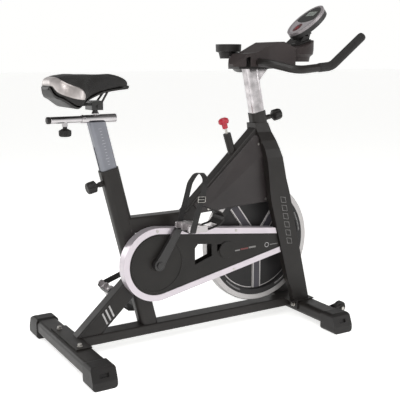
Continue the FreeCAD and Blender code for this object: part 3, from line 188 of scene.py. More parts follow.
def make_looks():
    looks = {}
    looks["black_paint"] = plain("black_paint", (0.0135, 0.0115, 0.0105), (0.060, 0.052, 0.048),
                                 (0.33, 0.47), grain=1300, depth=0.00008, specular=0.32)
    # The panel's lighter edge colour along its wide rounded ridge (9 mm bevel) is a painted
    # highlight.
    looks["panel"] = plain("panel_plastic", (0.023, 0.0185, 0.0185), (0.10, 0.09, 0.09),
                           (0.34, 0.42), grain=1600, depth=0.00006, edge=0.009, specular=0.4)
    looks["guard"] = plain("guard_plastic", (0.013, 0.0115, 0.0105), (0.05, 0.045, 0.04),
                           (0.42, 0.55), grain=1800, depth=0.0001, specular=0.3)
    looks["black_plastic"] = plain("black_plastic", (0.0115, 0.0100, 0.0095), (0.05, 0.045, 0.04),
                                   (0.40, 0.56), grain=1500, depth=0.00014, specular=0.35)
    looks["tray"] = plain("tray_plastic", (0.027, 0.0195, 0.0190), (0.07, 0.055, 0.05),
                          (0.42, 0.56), grain=1400, depth=0.00014, specular=0.32)
    looks["bright_trim"] = plain("bright_trim", (0.60, 0.55, 0.59), (0.35, 0.33, 0.34),
                                 (0.26, 0.36), metal=0.55, grain=2600, depth=0.00003, spread=0.05)
    looks["zinc"] = plain("zinc", (0.52, 0.50, 0.47), (0.25, 0.24, 0.23), (0.28, 0.42), metal=1.0,
                          grain=700, depth=0.00006, patch=60)
    # The chrome's strong light and dark colour patches (spread 0.30) are painted reflections.
    looks["chrome"] = plain("chrome", (0.50, 0.475, 0.485), None, (0.08, 0.17), metal=1.0,
                            grain=500, depth=0.000015, spread=0.30, patch=38, stretch=(1, 1, 0.05))
    looks["rod_chrome"] = plain("rod_chrome", (0.52, 0.50, 0.51), None, (0.06, 0.14), metal=1.0,
                                grain=500, depth=0.000015, spread=0.12)
    looks["aluminium"] = plain("aluminium", (0.50, 0.475, 0.48), (0.30, 0.29, 0.29), (0.26, 0.4),
                               metal=0.9, grain=1100, depth=0.0001, spread=0.1)
    looks["clamp_steel"] = plain("clamp_steel", (0.016, 0.015, 0.015), (0.15, 0.14, 0.14),
                                 (0.3, 0.45), grain=900)
    looks["wheel_rubber"] = plain("wheel_rubber", (0.022, 0.021, 0.020), None, (0.55, 0.7),
                                  grain=1200, depth=0.0002)
    looks["red_plastic"] = plain("red_plastic", (0.40, 0.012, 0.030), None, (0.26, 0.36), coat=0.1,
                                 grain=500, depth=0.00003, spread=0.12)
    looks["brake_felt"] = plain("brake_felt", (0.16, 0.10, 0.06), None, (0.85, 0.95), grain=2200,
                                depth=0.0006, sheen=0.3)
    looks["button"] = plain("button_plastic", (0.16, 0.012, 0.018), (0.25, 0.05, 0.06),
                            (0.25, 0.35), grain=800, depth=0.00004)
    looks["belt"] = belt_look()
    looks["post"] = post_look()
    looks["flywheel"] = flywheel_look()
    looks["console"] = console_look()
    looks["screen"] = screen_look()
    looks["strap"] = strap_look()
    looks["foam"] = foam_look()
    looks["vinyl"] = vinyl_look()
    looks["seam"] = plain("seam_piping", (0.012, 0.011, 0.011), None, (0.5, 0.6), grain=2400,
                          depth=0.0002)
    looks["decal"] = plain("decal_silver", (0.42, 0.41, 0.41), None, (0.35, 0.5), grain=2500,
                           depth=0.00002, spread=0.25, patch=90)
    looks["decal_red"] = plain("decal_red", (0.16, 0.035, 0.035), None, (0.35, 0.5), grain=2500,
                               depth=0.00002)
    looks["decal_grey"] = plain("decal_grey", (0.20, 0.195, 0.19), None, (0.35, 0.5), grain=2500,
                                depth=0.00002)
    looks["lcd"] = plain("lcd_window", (0.22, 0.24, 0.22), None, (0.18, 0.26), grain=1800,
                         depth=0.00001, spread=0.08)
    return looks


def belt_look():
    look = plain("belt_rubber", (0.016, 0.016, 0.016), None, (0.6, 0.75), grain=800, depth=0.0003)
    across = look.dot((0, 0, 0), (0, 1, 0))
    ribs = look.math("SINE", look.math("MULTIPLY", across, 2 * math.pi / 0.0024))
    look.relief(ribs, 0.0004, 1.0, 0.0004)
    return look


def post_look():
    """Satin steel brushed along the post, with a measuring scale on both broad sides."""
    up = SEAT.to_3x3() @ Vector((0, 0, 1))
    over = SEAT.to_3x3() @ Vector((1, 0, 0))
    look = plain("satin_post", (0.205, 0.21, 0.235), (0.45, 0.45, 0.47), (0.30, 0.42), metal=0.8,
                 grain=700, depth=0.00004, spread=0.12, stretch=(1, 1, 0.04))
    height = look.dot(SEAT.translation, up)
    across = look.math("ABSOLUTE", look.dot(SEAT.translation, over))
    side = look.math("ABSOLUTE", look.dot((0, 0, 0), (0, 1, 0)))
    share = look.math("FRACT", look.math("DIVIDE", height, 0.010))
    five = look.math("FRACT", look.math("DIVIDE", height, 0.050))
    line = look.step(share, 0.15, 0.12)
    reach = look.blend(look.step(five, 0.21, 0.19), 0.0035, 0.0065)
    inside = look.math("LESS_THAN", across, reach)
    span = look.math("MULTIPLY", look.step(height, 0.5795, 0.580), look.step(height, 0.701, 0.7005))
    mark = look.math("MULTIPLY", look.math("MULTIPLY", line, inside),
                     look.math("GREATER_THAN", side, 0.0197))
    mark = look.math("MULTIPLY", mark, span)
    look.colour(look.mix(mark, look.base, (0.42, 0.42, 0.44)))
    return look


def flywheel_look():
    """Black casting with machined silver tread and outer ring, and bright edges round pockets."""
    look = plain("cast_iron", (0.0125, 0.0115, 0.012), (0.07, 0.07, 0.07), (0.36, 0.5), grain=700,
                 depth=0.00025, specular=0.35)
    x = look.dot(WHEEL, (1, 0, 0))
    z = look.dot(WHEEL, (0, 0, 1))
    y = look.math("ABSOLUTE", look.dot(WHEEL, (0, 1, 0)))
    radius = look.math("SQRT", look.math("ADD", look.math("MULTIPLY", x, x),
                                         look.math("MULTIPLY", z, z)))
    angle = look.math("ARCTAN2", z, x)
    fifth = 2 * math.pi / 5
    turn = look.math("ADD", angle, -math.radians(54) + fifth / 2 + 4 * fifth)
    near = look.math("SUBTRACT", look.math("FLOORED_MODULO", turn, fifth), fifth / 2)
    beside = look.math("ABSOLUTE", look.math("MULTIPLY", radius, look.math("SINE", near)))
    ahead = look.math("GREATER_THAN", look.math("COSINE", near), 0.5)

    def band(source, low, high):
        return look.math("MULTIPLY", look.math("GREATER_THAN", source, low),
                         look.math("LESS_THAN", source, high))

    spoke_edge = look.math("MULTIPLY", band(beside, 0.0128, 0.0185), band(radius, 0.040, 0.1755))
    spoke_edge = look.math("MULTIPLY", spoke_edge, ahead)
    arc = look.math("MULTIPLY", band(radius, 0.1735, 0.1768),
                    look.math("GREATER_THAN", beside, 0.0150))
    bright = look.math("MAXIMUM", spoke_edge, arc)
    silver = look.math("MAXIMUM", look.math("GREATER_THAN", radius, 0.2005), bright)
    arm = look.math("MULTIPLY", look.math("LESS_THAN", beside, 0.0128),
                    look.math("LESS_THAN", radius, 0.1755))
    base = look.mix(arm, look.base, (0.052, 0.048, 0.058))
    share = look.math("FRACT", look.math("MULTIPLY", angle, 36.0))
    dash = look.math("MULTIPLY", look.step(share, 0.45, 0.42), band(radius, 0.1865, 0.1915))
    dash = look.math("MULTIPLY", dash,
                     look.math("GREATER_THAN", look.math("ABSOLUTE", near), fifth / 2 - 0.20))
    base = look.mix(look.math("MULTIPLY", dash, look.math("GREATER_THAN", y, 0.012)), base,
                    (0.34, 0.33, 0.33))
    turning = look.math("SINE", look.math("MULTIPLY", radius, 5200.0))
    metal = look.mix(look.step(turning, -1.0, 1.0), (0.40, 0.385, 0.38), (0.54, 0.52, 0.52))
    look.colour(look.mix(silver, base, metal))
    look.feed(look.shader.inputs["Metallic"], look.math("MULTIPLY", silver, 0.75))
    look.rough(look.blend(silver, look.gloss, 0.34))
    return look


def console_look():
    """Silver bezel in front, black housing behind."""
    normal = CONSOLE.to_3x3() @ Vector((0, 0, 1))
    look = plain("console_plastic", (0.28, 0.255, 0.265), (0.5, 0.48, 0.5), (0.28, 0.38),
                 metal=0.35, grain=1500, depth=0.00005, spread=0.06)
    front = look.step(look.dot(CONSOLE.translation, normal), -0.0012, -0.0008)
    look.colour(look.mix(front, (0.014, 0.013, 0.013), look.base))
    look.feed(look.shader.inputs["Metallic"], look.math("MULTIPLY", front, 0.35))
    look.rough(look.blend(front, 0.45, look.gloss))
    return look


def screen_look():
    """Glossy black window over a silver lower face, with a dark red patch round the button."""
    along = CONSOLE.to_3x3() @ Vector((1, 0, 0))
    look = plain("screen_glass", (0.010, 0.0095, 0.009), None, (0.08, 0.14), coat=0.3,
                 coat_rough=0.06, grain=300, depth=0.00001)
    u = look.dot(CONSOLE.translation, along)
    v = look.dot(CONSOLE.translation, (0, 1, 0))
    bow = look.math("MULTIPLY", look.math("MULTIPLY", v, v), 7.0)
    window = look.step(look.math("SUBTRACT", u, bow), -0.0165, -0.0160)
    du = look.math("DIVIDE", look.math("ADD", u, 0.045), 0.0230)
    dv = look.math("DIVIDE", v, 0.0165)
    patch = look.step(look.math("ADD", look.math("MULTIPLY", du, du),
                                look.math("MULTIPLY", dv, dv)), 1.03, 0.97)
    lower = look.mix(patch, (0.27, 0.25, 0.26), (0.060, 0.008, 0.011))
    look.colour(look.mix(window, lower, look.base))
    look.rough(look.blend(window, 0.30, look.gloss))
    return look


def strap_look():
    """Ribbed webbing."""
    look = plain("strap_web", (0.011, 0.010, 0.010), None, (0.45, 0.62), grain=1500, depth=0.0002,
                 sheen=0.08, specular=0.35)
    weave = look.add("ShaderNodeTexWave", wave_type="BANDS", bands_direction="X")
    look.feed(weave.inputs["Vector"], look.where)
    weave.inputs["Scale"].default_value = 190.0
    weave.inputs["Distortion"].default_value = 0.6
    cross = look.add("ShaderNodeTexWave", wave_type="BANDS", bands_direction="Z")
    look.feed(cross.inputs["Vector"], look.where)
    cross.inputs["Scale"].default_value = 130.0
    look.relief(look.math("MULTIPLY", weave.outputs["Fac"], cross.outputs["Fac"]),
                0.0004, 0.8, 0.0004)
    return look


def foam_look():
    look = plain("grip_foam", (0.0125, 0.0115, 0.011), None, (0.62, 0.78), grain=1400, depth=0.0005,
                 sheen=0.05, specular=0.35)
    cells = look.add("ShaderNodeTexVoronoi", feature="F1")
    look.feed(cells.inputs["Vector"], look.where)
    cells.inputs["Scale"].default_value = 620.0
    look.relief(cells.outputs["Distance"], 0.0006, 0.8, 0.0004)
    return look


def vinyl_look():
    """Leather-grain vinyl: black, with silver panels where the wing attribute is above zero."""
    look = plain("vinyl", (0.0100, 0.0090, 0.0085), None, (0.42, 0.56), grain=900, depth=0.0002,
                 specular=0.35)
    cells = look.add("ShaderNodeTexVoronoi", feature="DISTANCE_TO_EDGE")
    look.feed(cells.inputs["Vector"], look.where)
    cells.inputs["Scale"].default_value = 420.0
    creases = look.step(cells.outputs["Distance"], 0.0, 0.16)
    wing = look.add("ShaderNodeAttribute", attribute_name="wing").outputs["Fac"]
    silver = look.step(wing, -0.0004, 0.0004)
    rows = look.math("SINE", look.math("MULTIPLY", look.dot((0, 0, 0), (0.6, 0, 0.8)), 2600.0))
    fine = look.blend(silver, creases, look.math("MULTIPLY", rows, 0.12))
    look.relief(fine, 0.00035, 0.75, 0.0004)
    cloudy = look.mix(look.step(look.noise(26.0, 3.0), 0.35, 0.65),
                      (0.34, 0.31, 0.30), (0.54, 0.50, 0.49))
    look.colour(look.mix(silver, look.base, cloudy))
    look.feed(look.shader.inputs["Metallic"], look.math("MULTIPLY", silver, 0.55))
    look.rough(look.blend(silver, look.gloss, 0.33))
    return look


LOOKS = make_looks()

NODE_LOOKS = {
    "black_paint": ["lower_beam", "seat_tube", "mid_tube", "diagonal_tube", "head_tube", "fork",
                    "rear_strut", "rear_stabilizer", "front_stabilizer", "handlebar", "bar_plate",
                    "brake_housing"],
    "panel": ["side_panels"],
    "guard": ["guard_cover", "guard_back"],
    "black_plastic": ["end_caps", "post_bushings", "drive_pulley", "seat_pin", "bar_pin",
                      "slider_knob", "saddle_shell", "bottle_holder", "console_bracket",
                      "toe_cage_right", "toe_cage_left"],
    "tray": ["tray"],
    "bright_trim": ["guard_trim"],
    "zinc": ["frame_fasteners", "cover_screws", "bracket_bearings", "flywheel_bearings",
             "flywheel_axle", "crank_axle", "brake_rod"],
    "chrome": ["bar_post"],
    "rod_chrome": ["slider_sleeve", "slider_tube"],
    "aluminium": ["pedal_right", "pedal_left", "pedal_axles", "driven_pulley"],
    "clamp_steel": ["crank_arms", "crank_bolts", "saddle_clamp", "saddle_rails"],
    "wheel_rubber": ["wheel_right", "wheel_left"],
    "red_plastic": ["brake_knob"],
    "brake_felt": ["brake_pad"],
    "button": ["console_button"],
    "belt": ["drive_belt"],
    "post": ["seat_post"],
    "flywheel": ["flywheel"],
    "console": ["console_body"],
    "screen": ["console_screen"],
    "strap": ["toe_strap_right", "toe_strap_left"],
    "foam": ["grips"],
    "vinyl": ["saddle_cushion"],
}


def dress_nodes():
    """Give each solid part its finish."""
    for look, names in NODE_LOOKS.items():
        for name in names:
            mesh = NODES[name].data
            mesh.materials.clear()
            mesh.materials.append(LOOKS[look].material)


# ---- mesh helpers ----

def new_piece(name, mesh_builder, look, body):
    mesh = bpy.data.meshes.new(name)
    mesh_builder.normal_update()
    mesh_builder.to_mesh(mesh)
    mesh_builder.free()
    item = bpy.data.objects.new(name, mesh)
    bpy.context.scene.collection.objects.link(item)
    mesh.materials.append(LOOKS[look].material)
    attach(item, body)
    return item


def smooth(item, levels=0):
    """Smooth shading, and as many subdivisions as levels says."""
    for polygon in item.data.polygons:
        polygon.use_smooth = True
    if levels:
        rounding = item.modifiers.new("rounding", "SUBSURF")
        rounding.levels = rounding.render_levels = levels


def join_rings(builder, here, there):
    """Faces between two rings of equally many points."""
    for k in range(len(here)):
        j = (k + 1) % len(here)
        builder.faces.new((here[k], there[k], there[j], here[j]))


def round_section(radius):
    """A wire's section as (across, out) pairs."""
    angles = [k * math.pi / 4 for k in range(8)]
    return [(radius * math.cos(a), radius * math.sin(a)) for a in angles]


def sweep(builder, points, ups, section, closed=False):
    """Sweep a section of (across, out) pairs along points; ups are its out directions."""
    rings = []
    count = len(points)
    for i, (point, up) in enumerate(zip(points, ups)):
        before = points[i - 1] if i or closed else point
        after = points[(i + 1) % count] if i < count - 1 or closed else point
        ahead = (after - before).normalized()
        out = (up - ahead * up.dot(ahead)).normalized()
        across = ahead.cross(out)
        rings.append([builder.verts.new(point + across * a + out * b) for a, b in section])
    steps = range(count if closed else count - 1)
    for i in steps:
        join_rings(builder, rings[i], rings[(i + 1) % count])
    if not closed:
        builder.faces.new(list(reversed(rings[0])))
        builder.faces.new(rings[-1])
    bmesh.ops.recalc_face_normals(builder, faces=builder.faces[:])


def slab(builder, corners, normal, thickness):
    """A thin raised plate: its outline at the surface, drawn out along the normal."""
    base = [builder.verts.new(corner) for corner in corners]
    top = [builder.verts.new(corner + normal * thickness) for corner in corners]
    count = len(corners)
    builder.faces.new(top)
    builder.faces.new(list(reversed(base)))
    for i in range(count):
        j = (i + 1) % count
        builder.faces.new((base[i], base[j], top[j], top[i]))


# ---- saddle ----

# The silver panel's outline from the side, as (x, z).
WING = [(-0.566, 0.9185), (-0.537, 0.917), (-0.531, 0.908), (-0.520, 0.8985), (-0.506, 0.892),
        (-0.492, 0.887), (-0.474, 0.879), (-0.464, 0.870), (-0.4595, 0.859), (-0.460, 0.8455),
        (-0.477, 0.8465), (-0.503, 0.851), (-0.529, 0.860), (-0.543, 0.868), (-0.5495, 0.879),
        (-0.552, 0.8885), (-0.566, 0.889)]
SWELL_LIMIT = 0.005
SWELL_FRAMES = 20
SEAM_DEPTH = 0.0011
SEAM_WIDTH = 0.0022
PIPING_RADIUS = 0.0009


def rounded_outline(points, cuts=2):
    """Corners cut twice, so that the outline runs smoothly."""
    for _ in range(cuts):
        cut = []
        for (ax, az), (bx, bz) in zip(points, points[1:] + points[:1]):
            cut.append((0.75 * ax + 0.25 * bx, 0.75 * az + 0.25 * bz))
            cut.append((0.25 * ax + 0.75 * bx, 0.25 * az + 0.75 * bz))
        points = cut
    return points


def signed_distance(x, z, outline):
    """Distance to an outline in a side view, positive inside it."""
    inside = False
    nearest = 1.0
    for (ax, az), (bx, bz) in zip(outline, outline[1:] + outline[:1]):
        if (az > z) != (bz > z) and x < (bx - ax) * (z - az) / (bz - az) + ax:
            inside = not inside
        dx, dz = bx - ax, bz - az
        share = max(0.0, min(1.0, ((x - ax) * dx + (z - az) * dz) / (dx * dx + dz * dz)))
        nearest = min(nearest, math.hypot(x - ax - share * dx, z - az - share * dz))
    return nearest if inside else -nearest


def bake_modifiers(item):
    """Make what the modifiers give the mesh itself."""
    graph = bpy.context.evaluated_depsgraph_get()
    mesh = bpy.data.meshes.new_from_object(item.evaluated_get(graph))
    item.modifiers.clear()
    item.data = mesh


def swell(item):
    """Inflate the pad a little as cloth under pressure, and keep each point near its start."""
    scene = bpy.context.scene
    start = [v.co.copy() for v in item.data.vertices]
    cloth = item.modifiers.new("cloth", "CLOTH")
    cloth.settings.use_pressure = True
    cloth.settings.uniform_pressure_force = 4.0
    cloth.settings.quality = 5
    cloth.settings.effector_weights.gravity = 0.0
    cloth.point_cache.frame_start = 1
    cloth.point_cache.frame_end = SWELL_FRAMES
    for number in range(1, SWELL_FRAMES + 1):
        scene.frame_set(number)
    bake_modifiers(item)
    scene.frame_set(1)
    for vertex, origin in zip(item.data.vertices, start):
        move = vertex.co - origin
        if move.length > SWELL_LIMIT:
            vertex.co = origin + move.normalized() * SWELL_LIMIT


def make_saddle():
    source = NODES["saddle_cushion"].data.copy()
    source.materials.clear()
    pad = bpy.data.objects.new("saddle_pad", source)
    bpy.context.scene.collection.objects.link(pad)
    remesh = pad.modifiers.new("remesh", "REMESH")
    remesh.mode = "VOXEL"
    remesh.voxel_size = 0.0045
    relax = pad.modifiers.new("relax", "SMOOTH")
    relax.factor = 0.5
    relax.iterations = 4
    shrink = pad.modifiers.new("shrink", "DISPLACE")
    shrink.mid_level = 0.0
    shrink.strength = -0.0025
    bake_modifiers(pad)
    swell(pad)
    relax = pad.modifiers.new("relax", "SMOOTH")
    relax.factor = 0.5
    relax.iterations = 2
    finer = pad.modifiers.new("finer", "SUBSURF")
    finer.levels = finer.render_levels = 1
    bake_modifiers(pad)
    smooth(pad)
    outline = rounded_outline(WING)
    mesh = pad.data
    wing = mesh.attributes.new("wing", "FLOAT", "POINT")
    for vertex in mesh.vertices:
        distance = -0.05
        if vertex.co.x < -0.44:
            distance = signed_distance(vertex.co.x, vertex.co.z, outline)
        wing.data[vertex.index].value = distance
        depth = SEAM_DEPTH * math.exp(-(distance / SEAM_WIDTH) ** 2)
        vertex.co -= vertex.normal * depth
    mesh.materials.append(LOOKS["vinyl"].material)
    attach(pad, "slider_set")
    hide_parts("saddle_cushion")
    make_saddle_piping(pad, outline)


def make_saddle_piping(pad, outline):
    """A sewn cord in the seam between the silver panels and the black cover, on both sides."""
    tree = BVHTree.FromPolygons([v.co for v in pad.data.vertices],
                                [p.vertices for p in pad.data.polygons])
    seam = [(x, z) for x, z in outline if x > -0.548 and (z > 0.872 or x > -0.462)]
    builder = bmesh.new()
    for side in (-1, 1):
        points, ups = [], []
        for x, z in seam:
            hit, normal, _, _ = tree.ray_cast(Vector((x, side * 0.2, z)), Vector((0, -side, 0)))
            if hit is None:
                continue
            points.append(hit + normal * 0.0002)
            ups.append(normal)
        sweep(builder, points, ups, round_section(PIPING_RADIUS))
    piping = new_piece("saddle_piping", builder, "seam", "slider_set")
    smooth(piping)


# ---- straps and grips ----

# Each pedal's centre, and its tilt in degrees.
PEDALS = {"right": (Vector((-0.12586, -0.140, 0.42419)), -4.0),
          "left": (Vector((-0.30014, 0.140, 0.15581)), -57.0)}
STRAP_BACK = -0.019
STRAP_LEAN = 0.24
BUCKLE_HEIGHT = 0.098
BUCKLE_WIRE = 0.0011


def pedal_frame(side):
    centre, tilt = PEDALS[side]
    angle = math.radians(tilt)
    axes = Matrix(((math.cos(angle), -math.sin(angle), 0), (0, 0, -1),
                   (math.sin(angle), math.cos(angle), 0)))
    return Matrix.Translation(centre) @ axes.to_4x4()


def strap_path():
    """The strap's middle line round the pedal: (across the foot, above the pedal)."""
    half, low, bend, crown = 0.0481, -0.0143, 0.0072, 0.130
    path = []
    for k in range(5):
        angle = math.radians(-90 + 90 * k / 4)
        path.append((half - bend + bend * math.cos(angle), low + bend + bend * math.sin(angle)))
    path += [(half, low + bend + (crown - low - bend) * k / 6) for k in range(1, 6)]
    for k in range(25):
        angle = math.radians(180 * k / 24)
        path.append((half * math.cos(angle), crown + half * math.sin(angle)))
    path += [(-half, crown - (crown - low - bend) * k / 6) for k in range(1, 6)]
    for k in range(5):
        angle = math.radians(180 + 90 * k / 4)
        path.append((-(half - bend) + bend * math.cos(angle), low + bend + bend * math.sin(angle)))
    return path


def make_strap(side):
    place = pedal_frame(side)
    path = strap_path()
    count = len(path)
    points, ups = [], []
    for i, (z, y) in enumerate(path):
        flutter = 0.0009 * math.sin(i * 0.9) if y > 0.04 else 0.0
        points.append(place @ Vector((STRAP_BACK + flutter + STRAP_LEAN * max(y, 0.0), y, z)))
        before, after = path[i - 1], path[(i + 1) % count]
        tangent = Vector((after[0] - before[0], after[1] - before[1])).normalized()
        outward = Vector((0, -tangent.x, tangent.y))
        if Vector((0, y - 0.06, z)).dot(outward) < 0:
            outward.negate()
        ups.append(place.to_3x3() @ outward)
    section = [(-0.0105, -0.0006), (-0.0098, -0.0009), (-0.0075, -0.0007), (0.0075, -0.0007),
               (0.0098, -0.0009), (0.0105, -0.0006), (0.0105, 0.0006), (0.0098, 0.0009),
               (0.0075, 0.0006), (-0.0075, 0.0006), (-0.0098, 0.0009), (-0.0105, 0.0006)]
    builder = bmesh.new()
    sweep(builder, points, ups, section, closed=True)
    strap = new_piece(f"strap_web_{side}", builder, "strap", f"pedal_{side}_set")
    smooth(strap, 1)
    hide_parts(f"toe_strap_{side}")
    make_buckle(side, place)


def make_buckle(side, place):
    """A small wire buckle and its tongue on the strap's outer side."""
    builder = bmesh.new()
    middle = Vector((STRAP_BACK + STRAP_LEAN * BUCKLE_HEIGHT, BUCKLE_HEIGHT, 0.0498))
    wire = [Vector((-0.0135, -0.009, 0)), Vector((0.0135, -0.009, 0)), Vector((0.0135, 0.009, 0)),
            Vector((-0.0135, 0.009, 0))]
    rounded = []
    for i, corner in enumerate(wire):
        before, after = wire[i - 1], wire[(i + 1) % 4]
        for share in (0.22, 0.08):
            rounded.append(corner.lerp(before, share))
        rounded.append(corner.lerp((before + after) / 2, 0.06))
        for share in (0.08, 0.22):
            rounded.append(corner.lerp(after, share))
    section = round_section(BUCKLE_WIRE)
    points = [place @ (middle + spot) for spot in rounded]
    out = place.to_3x3() @ Vector((0, 0, 1))
    sweep(builder, points, [out] * len(points), section, closed=True)
    bar = [place @ (middle + Vector((x, 0, 0.0004))) for x in (-0.0135, -0.005, 0.005, 0.0135)]
    sweep(builder, bar, [out] * 4, section)
    buckle = new_piece(f"buckle_{side}", builder, "zinc", f"pedal_{side}_set")
    smooth(buckle)


BAR_SPOTS = [(0.266, 0.186, 0.929), (0.409, 0.190, 0.942), (0.5463, 0.190, 1.046)]
GRIP_BEND = 0.060
GRIP_OUTER = 0.0160


def grip_line(side):
    """The bent run of a grip, with evenly spread points."""
    before, corner, last = (Vector((x, side * y, z)) for x, y, z in BAR_SPOTS)
    start = before.lerp(corner, 0.6)
    end = last + (last - corner).normalized() * 0.0048
    into = (corner - before).normalized()
    out = (last - corner).normalized()
    half = into.angle(out) / 2
    reach = GRIP_BEND * math.tan(half)
    centre = corner + (out - into).normalized() * (GRIP_BEND / math.cos(half))
    first, second = corner - into * reach, corner + out * reach
    points = [start.lerp(first, k / 10) for k in range(10)]
    for k in range(9):
        ray = (first - centre).lerp(second - centre, k / 8).normalized()
        points.append(centre + ray * GRIP_BEND)
    points += [second.lerp(end, k / 26) for k in range(1, 27)]
    return points


def make_grips():
    builder = bmesh.new()
    for side in (-1, 1):
        points = grip_line(side)
        rings = []
        total = len(points) - 1
        for i, point in enumerate(points):
            before, after = points[max(i - 1, 0)], points[min(i + 1, total)]
            ahead = (after - before).normalized()
            across = ahead.cross(Vector((0, 1, 0))).normalized()
            up = across.cross(ahead)
            radius = GRIP_OUTER
            if i == 0:
                radius -= 0.0009
            elif i >= total - 1:
                radius -= 0.0010 if i == total - 1 else 0.0042
            rays = [across * math.cos(a) + up * math.sin(a)
                    for a in (k * math.pi / 10 for k in range(20))]
            rings.append([builder.verts.new(point + ray * radius) for ray in rays])
        for here, there in zip(rings, rings[1:]):
            join_rings(builder, here, there)
        builder.faces.new(rings[-1])
        inner = [builder.verts.new(points[0] + (v.co - points[0]) * 0.93) for v in rings[0]]
        for k in range(20):
            j = (k + 1) % 20
            builder.faces.new((rings[0][k], rings[0][j], inner[j], inner[k]))
        builder.faces.new(inner)
    bmesh.ops.recalc_face_normals(builder, faces=builder.faces[:])
    grips = new_piece("foam_grips", builder, "foam", "bar_post_set")
    smooth(grips, 1)
    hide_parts("grips")


# ---- printed and small details ----

def side_plate(builder, spots, y, outward, thickness=0.0003):
    """A raised print on a face that looks along Y, from (x, z) corners."""
    corners = [Vector((x, y, z)) for x, z in spots]
    slab(builder, corners, Vector((0, outward, 0)), thickness)


def slanted(centre_x, centre_z, along, length, width, slant):
    """The corners of a slanted bar across a direction given in degrees."""
    angle = math.radians(along)
    ahead = Vector((math.cos(angle), math.sin(angle)))
    over = Vector((-ahead.y, ahead.x))
    corners = []
    for s, t in ((-1, -1), (1, -1), (1, 1), (-1, 1)):
        spot = ahead * (s * width / 2 + t * slant) + over * (t * length / 2)
        corners.append((centre_x + spot.x, centre_z + spot.y))
    return corners


STRUT_RISE = 42.8
STRUT_FACE = 0.0249
LEG_FACE = 0.0699
GUARD_FACE = -0.0614
MITRE = 1.5


def make_strut_bars():
    """Three plain slanted bars on each side of the rear strut."""
    builder = bmesh.new()
    for outward in (-1, 1):
        for k in (-1, 0, 1):
            x = -0.3795 + 0.0165 * k * math.cos(math.radians(STRUT_RISE))
            z = 0.1305 + 0.0165 * k * math.sin(math.radians(STRUT_RISE))
            corners = slanted(x, z, STRUT_RISE, 0.040, 0.0062, 0.007)
            side_plate(builder, corners, outward * STRUT_FACE, outward)
    new_piece("strut_bars", builder, "decal", "frame")


def frame_outline(builder, corners, line, y, outward):
    """A thin outline made of four mitred strips."""
    centre = Vector((sum(c[0] for c in corners) / 4, sum(c[1] for c in corners) / 4))
    inner = []
    for x, z in corners:
        away = Vector((x, z)) - centre
        inner.append(tuple(centre + away * (1 - line / away.length * MITRE)))
    for i in range(4):
        j = (i + 1) % 4
        side_plate(builder, [corners[i], corners[j], inner[j], inner[i]], y, outward)


def make_leg_marks():
    """A row of plain slanted outlines down each fork leg."""
    builder = bmesh.new()
    top, low = Vector((0.3030, 0.462)), Vector((0.3340, 0.305))
    lean = math.degrees(math.atan2(top.y - low.y, top.x - low.x))
    for outward in (-1, 1):
        for k in range(6):
            spot = low.lerp(top, k / 5)
            corners = slanted(spot.x, spot.y, lean, 0.021, 0.022, 0.004)
            frame_outline(builder, corners, 0.0014, outward * LEG_FACE, outward)
    new_piece("leg_marks", builder, "decal_grey", "frame")


def make_guard_marks():
    """Plain stripes and a ring printed on the belt guard."""
    pieces = (("guard_stripes", "decal_grey",
               ((0.099, 0.120, 0.2955, 0.0045), (0.158, 0.188, 0.2995, 0.0060),
                (0.251, 0.285, 0.2990, 0.0028))),
              ("guard_stripe_red", "decal_red", ((0.123, 0.155, 0.2975, 0.0055),)))
    for name, look, stripes in pieces:
        builder = bmesh.new()
        for start, end, middle, height in stripes:
            tilt = 0.02 * (end - start)
            corners = [(start, middle - height / 2), (end, middle - height / 2 + tilt),
                       (end, middle + height / 2 + tilt), (start, middle + height / 2)]
            side_plate(builder, corners, GUARD_FACE, -1)
        new_piece(name, builder, look, "frame")
    builder = bmesh.new()
    count = 40
    for k in range(count):
        a, b = 2 * math.pi * k / count, 2 * math.pi * (k + 1) / count
        spots = [(0.237 + r * math.cos(t), 0.3000 + r * math.sin(t)) for r, t in
                 ((0.0070, a), (0.0092, a), (0.0092, b), (0.0070, b))]
        side_plate(builder, spots, GUARD_FACE, -1)
    bmesh.ops.remove_doubles(builder, verts=builder.verts[:], dist=1e-6)
    new_piece("guard_ring", builder, "decal", "frame")


def make_display():
    """A small liquid-crystal window with plain bar segments, on the console's glass."""
    place = CONSOLE @ Matrix.Translation((0, 0, 0.0086))
    up = CONSOLE.to_3x3() @ Vector((0, 0, 1))

    def patch(builder, u, v, length, width, base, thickness):
        corners = [place @ Vector((u + s * length / 2, v + t * width / 2, base))
                   for s, t in ((-1, -1), (1, -1), (1, 1), (-1, 1))]
        slab(builder, corners, up, thickness)

    builder = bmesh.new()
    patch(builder, 0.036, 0.0, 0.024, 0.046, -0.0001, 0.0005)
    new_piece("display_window", builder, "lcd", "console")
    builder = bmesh.new()
    for k in range(4):
        v = -0.0145 + 0.0096 * k
        for du in (-0.0060, 0.0, 0.0060):
            patch(builder, 0.036 + du, v, 0.0010, 0.0042, 0.0003, 0.0002)
        for dv in (-0.0026, 0.0026):
            for du in (-0.0030, 0.0030):
                patch(builder, 0.036 + du, v + dv, 0.0044, 0.0010, 0.0003, 0.0002)
    new_piece("display_segments", builder, "screen", "console")


def make_rod_end():
    """The black push-in plug in the rear end of the slider tube."""
    builder = bmesh.new()
    profile = [(-0.5442, 0.0072), (-0.5478, 0.0072), (-0.5478, 0.0112), (-0.5562, 0.0112),
               (-0.5580, 0.0098)]
    rings = []
    for x, radius in profile:
        rings.append([builder.verts.new((x, radius * math.cos(a), 0.781 + radius * math.sin(a)))
                      for a in (k * math.pi / 16 for k in range(32))])
    for here, there in zip(rings, rings[1:]):
        for k in range(32):
            j = (k + 1) % 32
            builder.faces.new((here[k], here[j], there[j], there[k]))
    builder.faces.new(rings[-1])
    builder.faces.new(list(reversed(rings[0])))
    bmesh.ops.recalc_face_normals(builder, faces=builder.faces[:])
    new_piece("rod_plug", builder, "black_plastic", "slider_set")


# ---- floor, light and camera ----

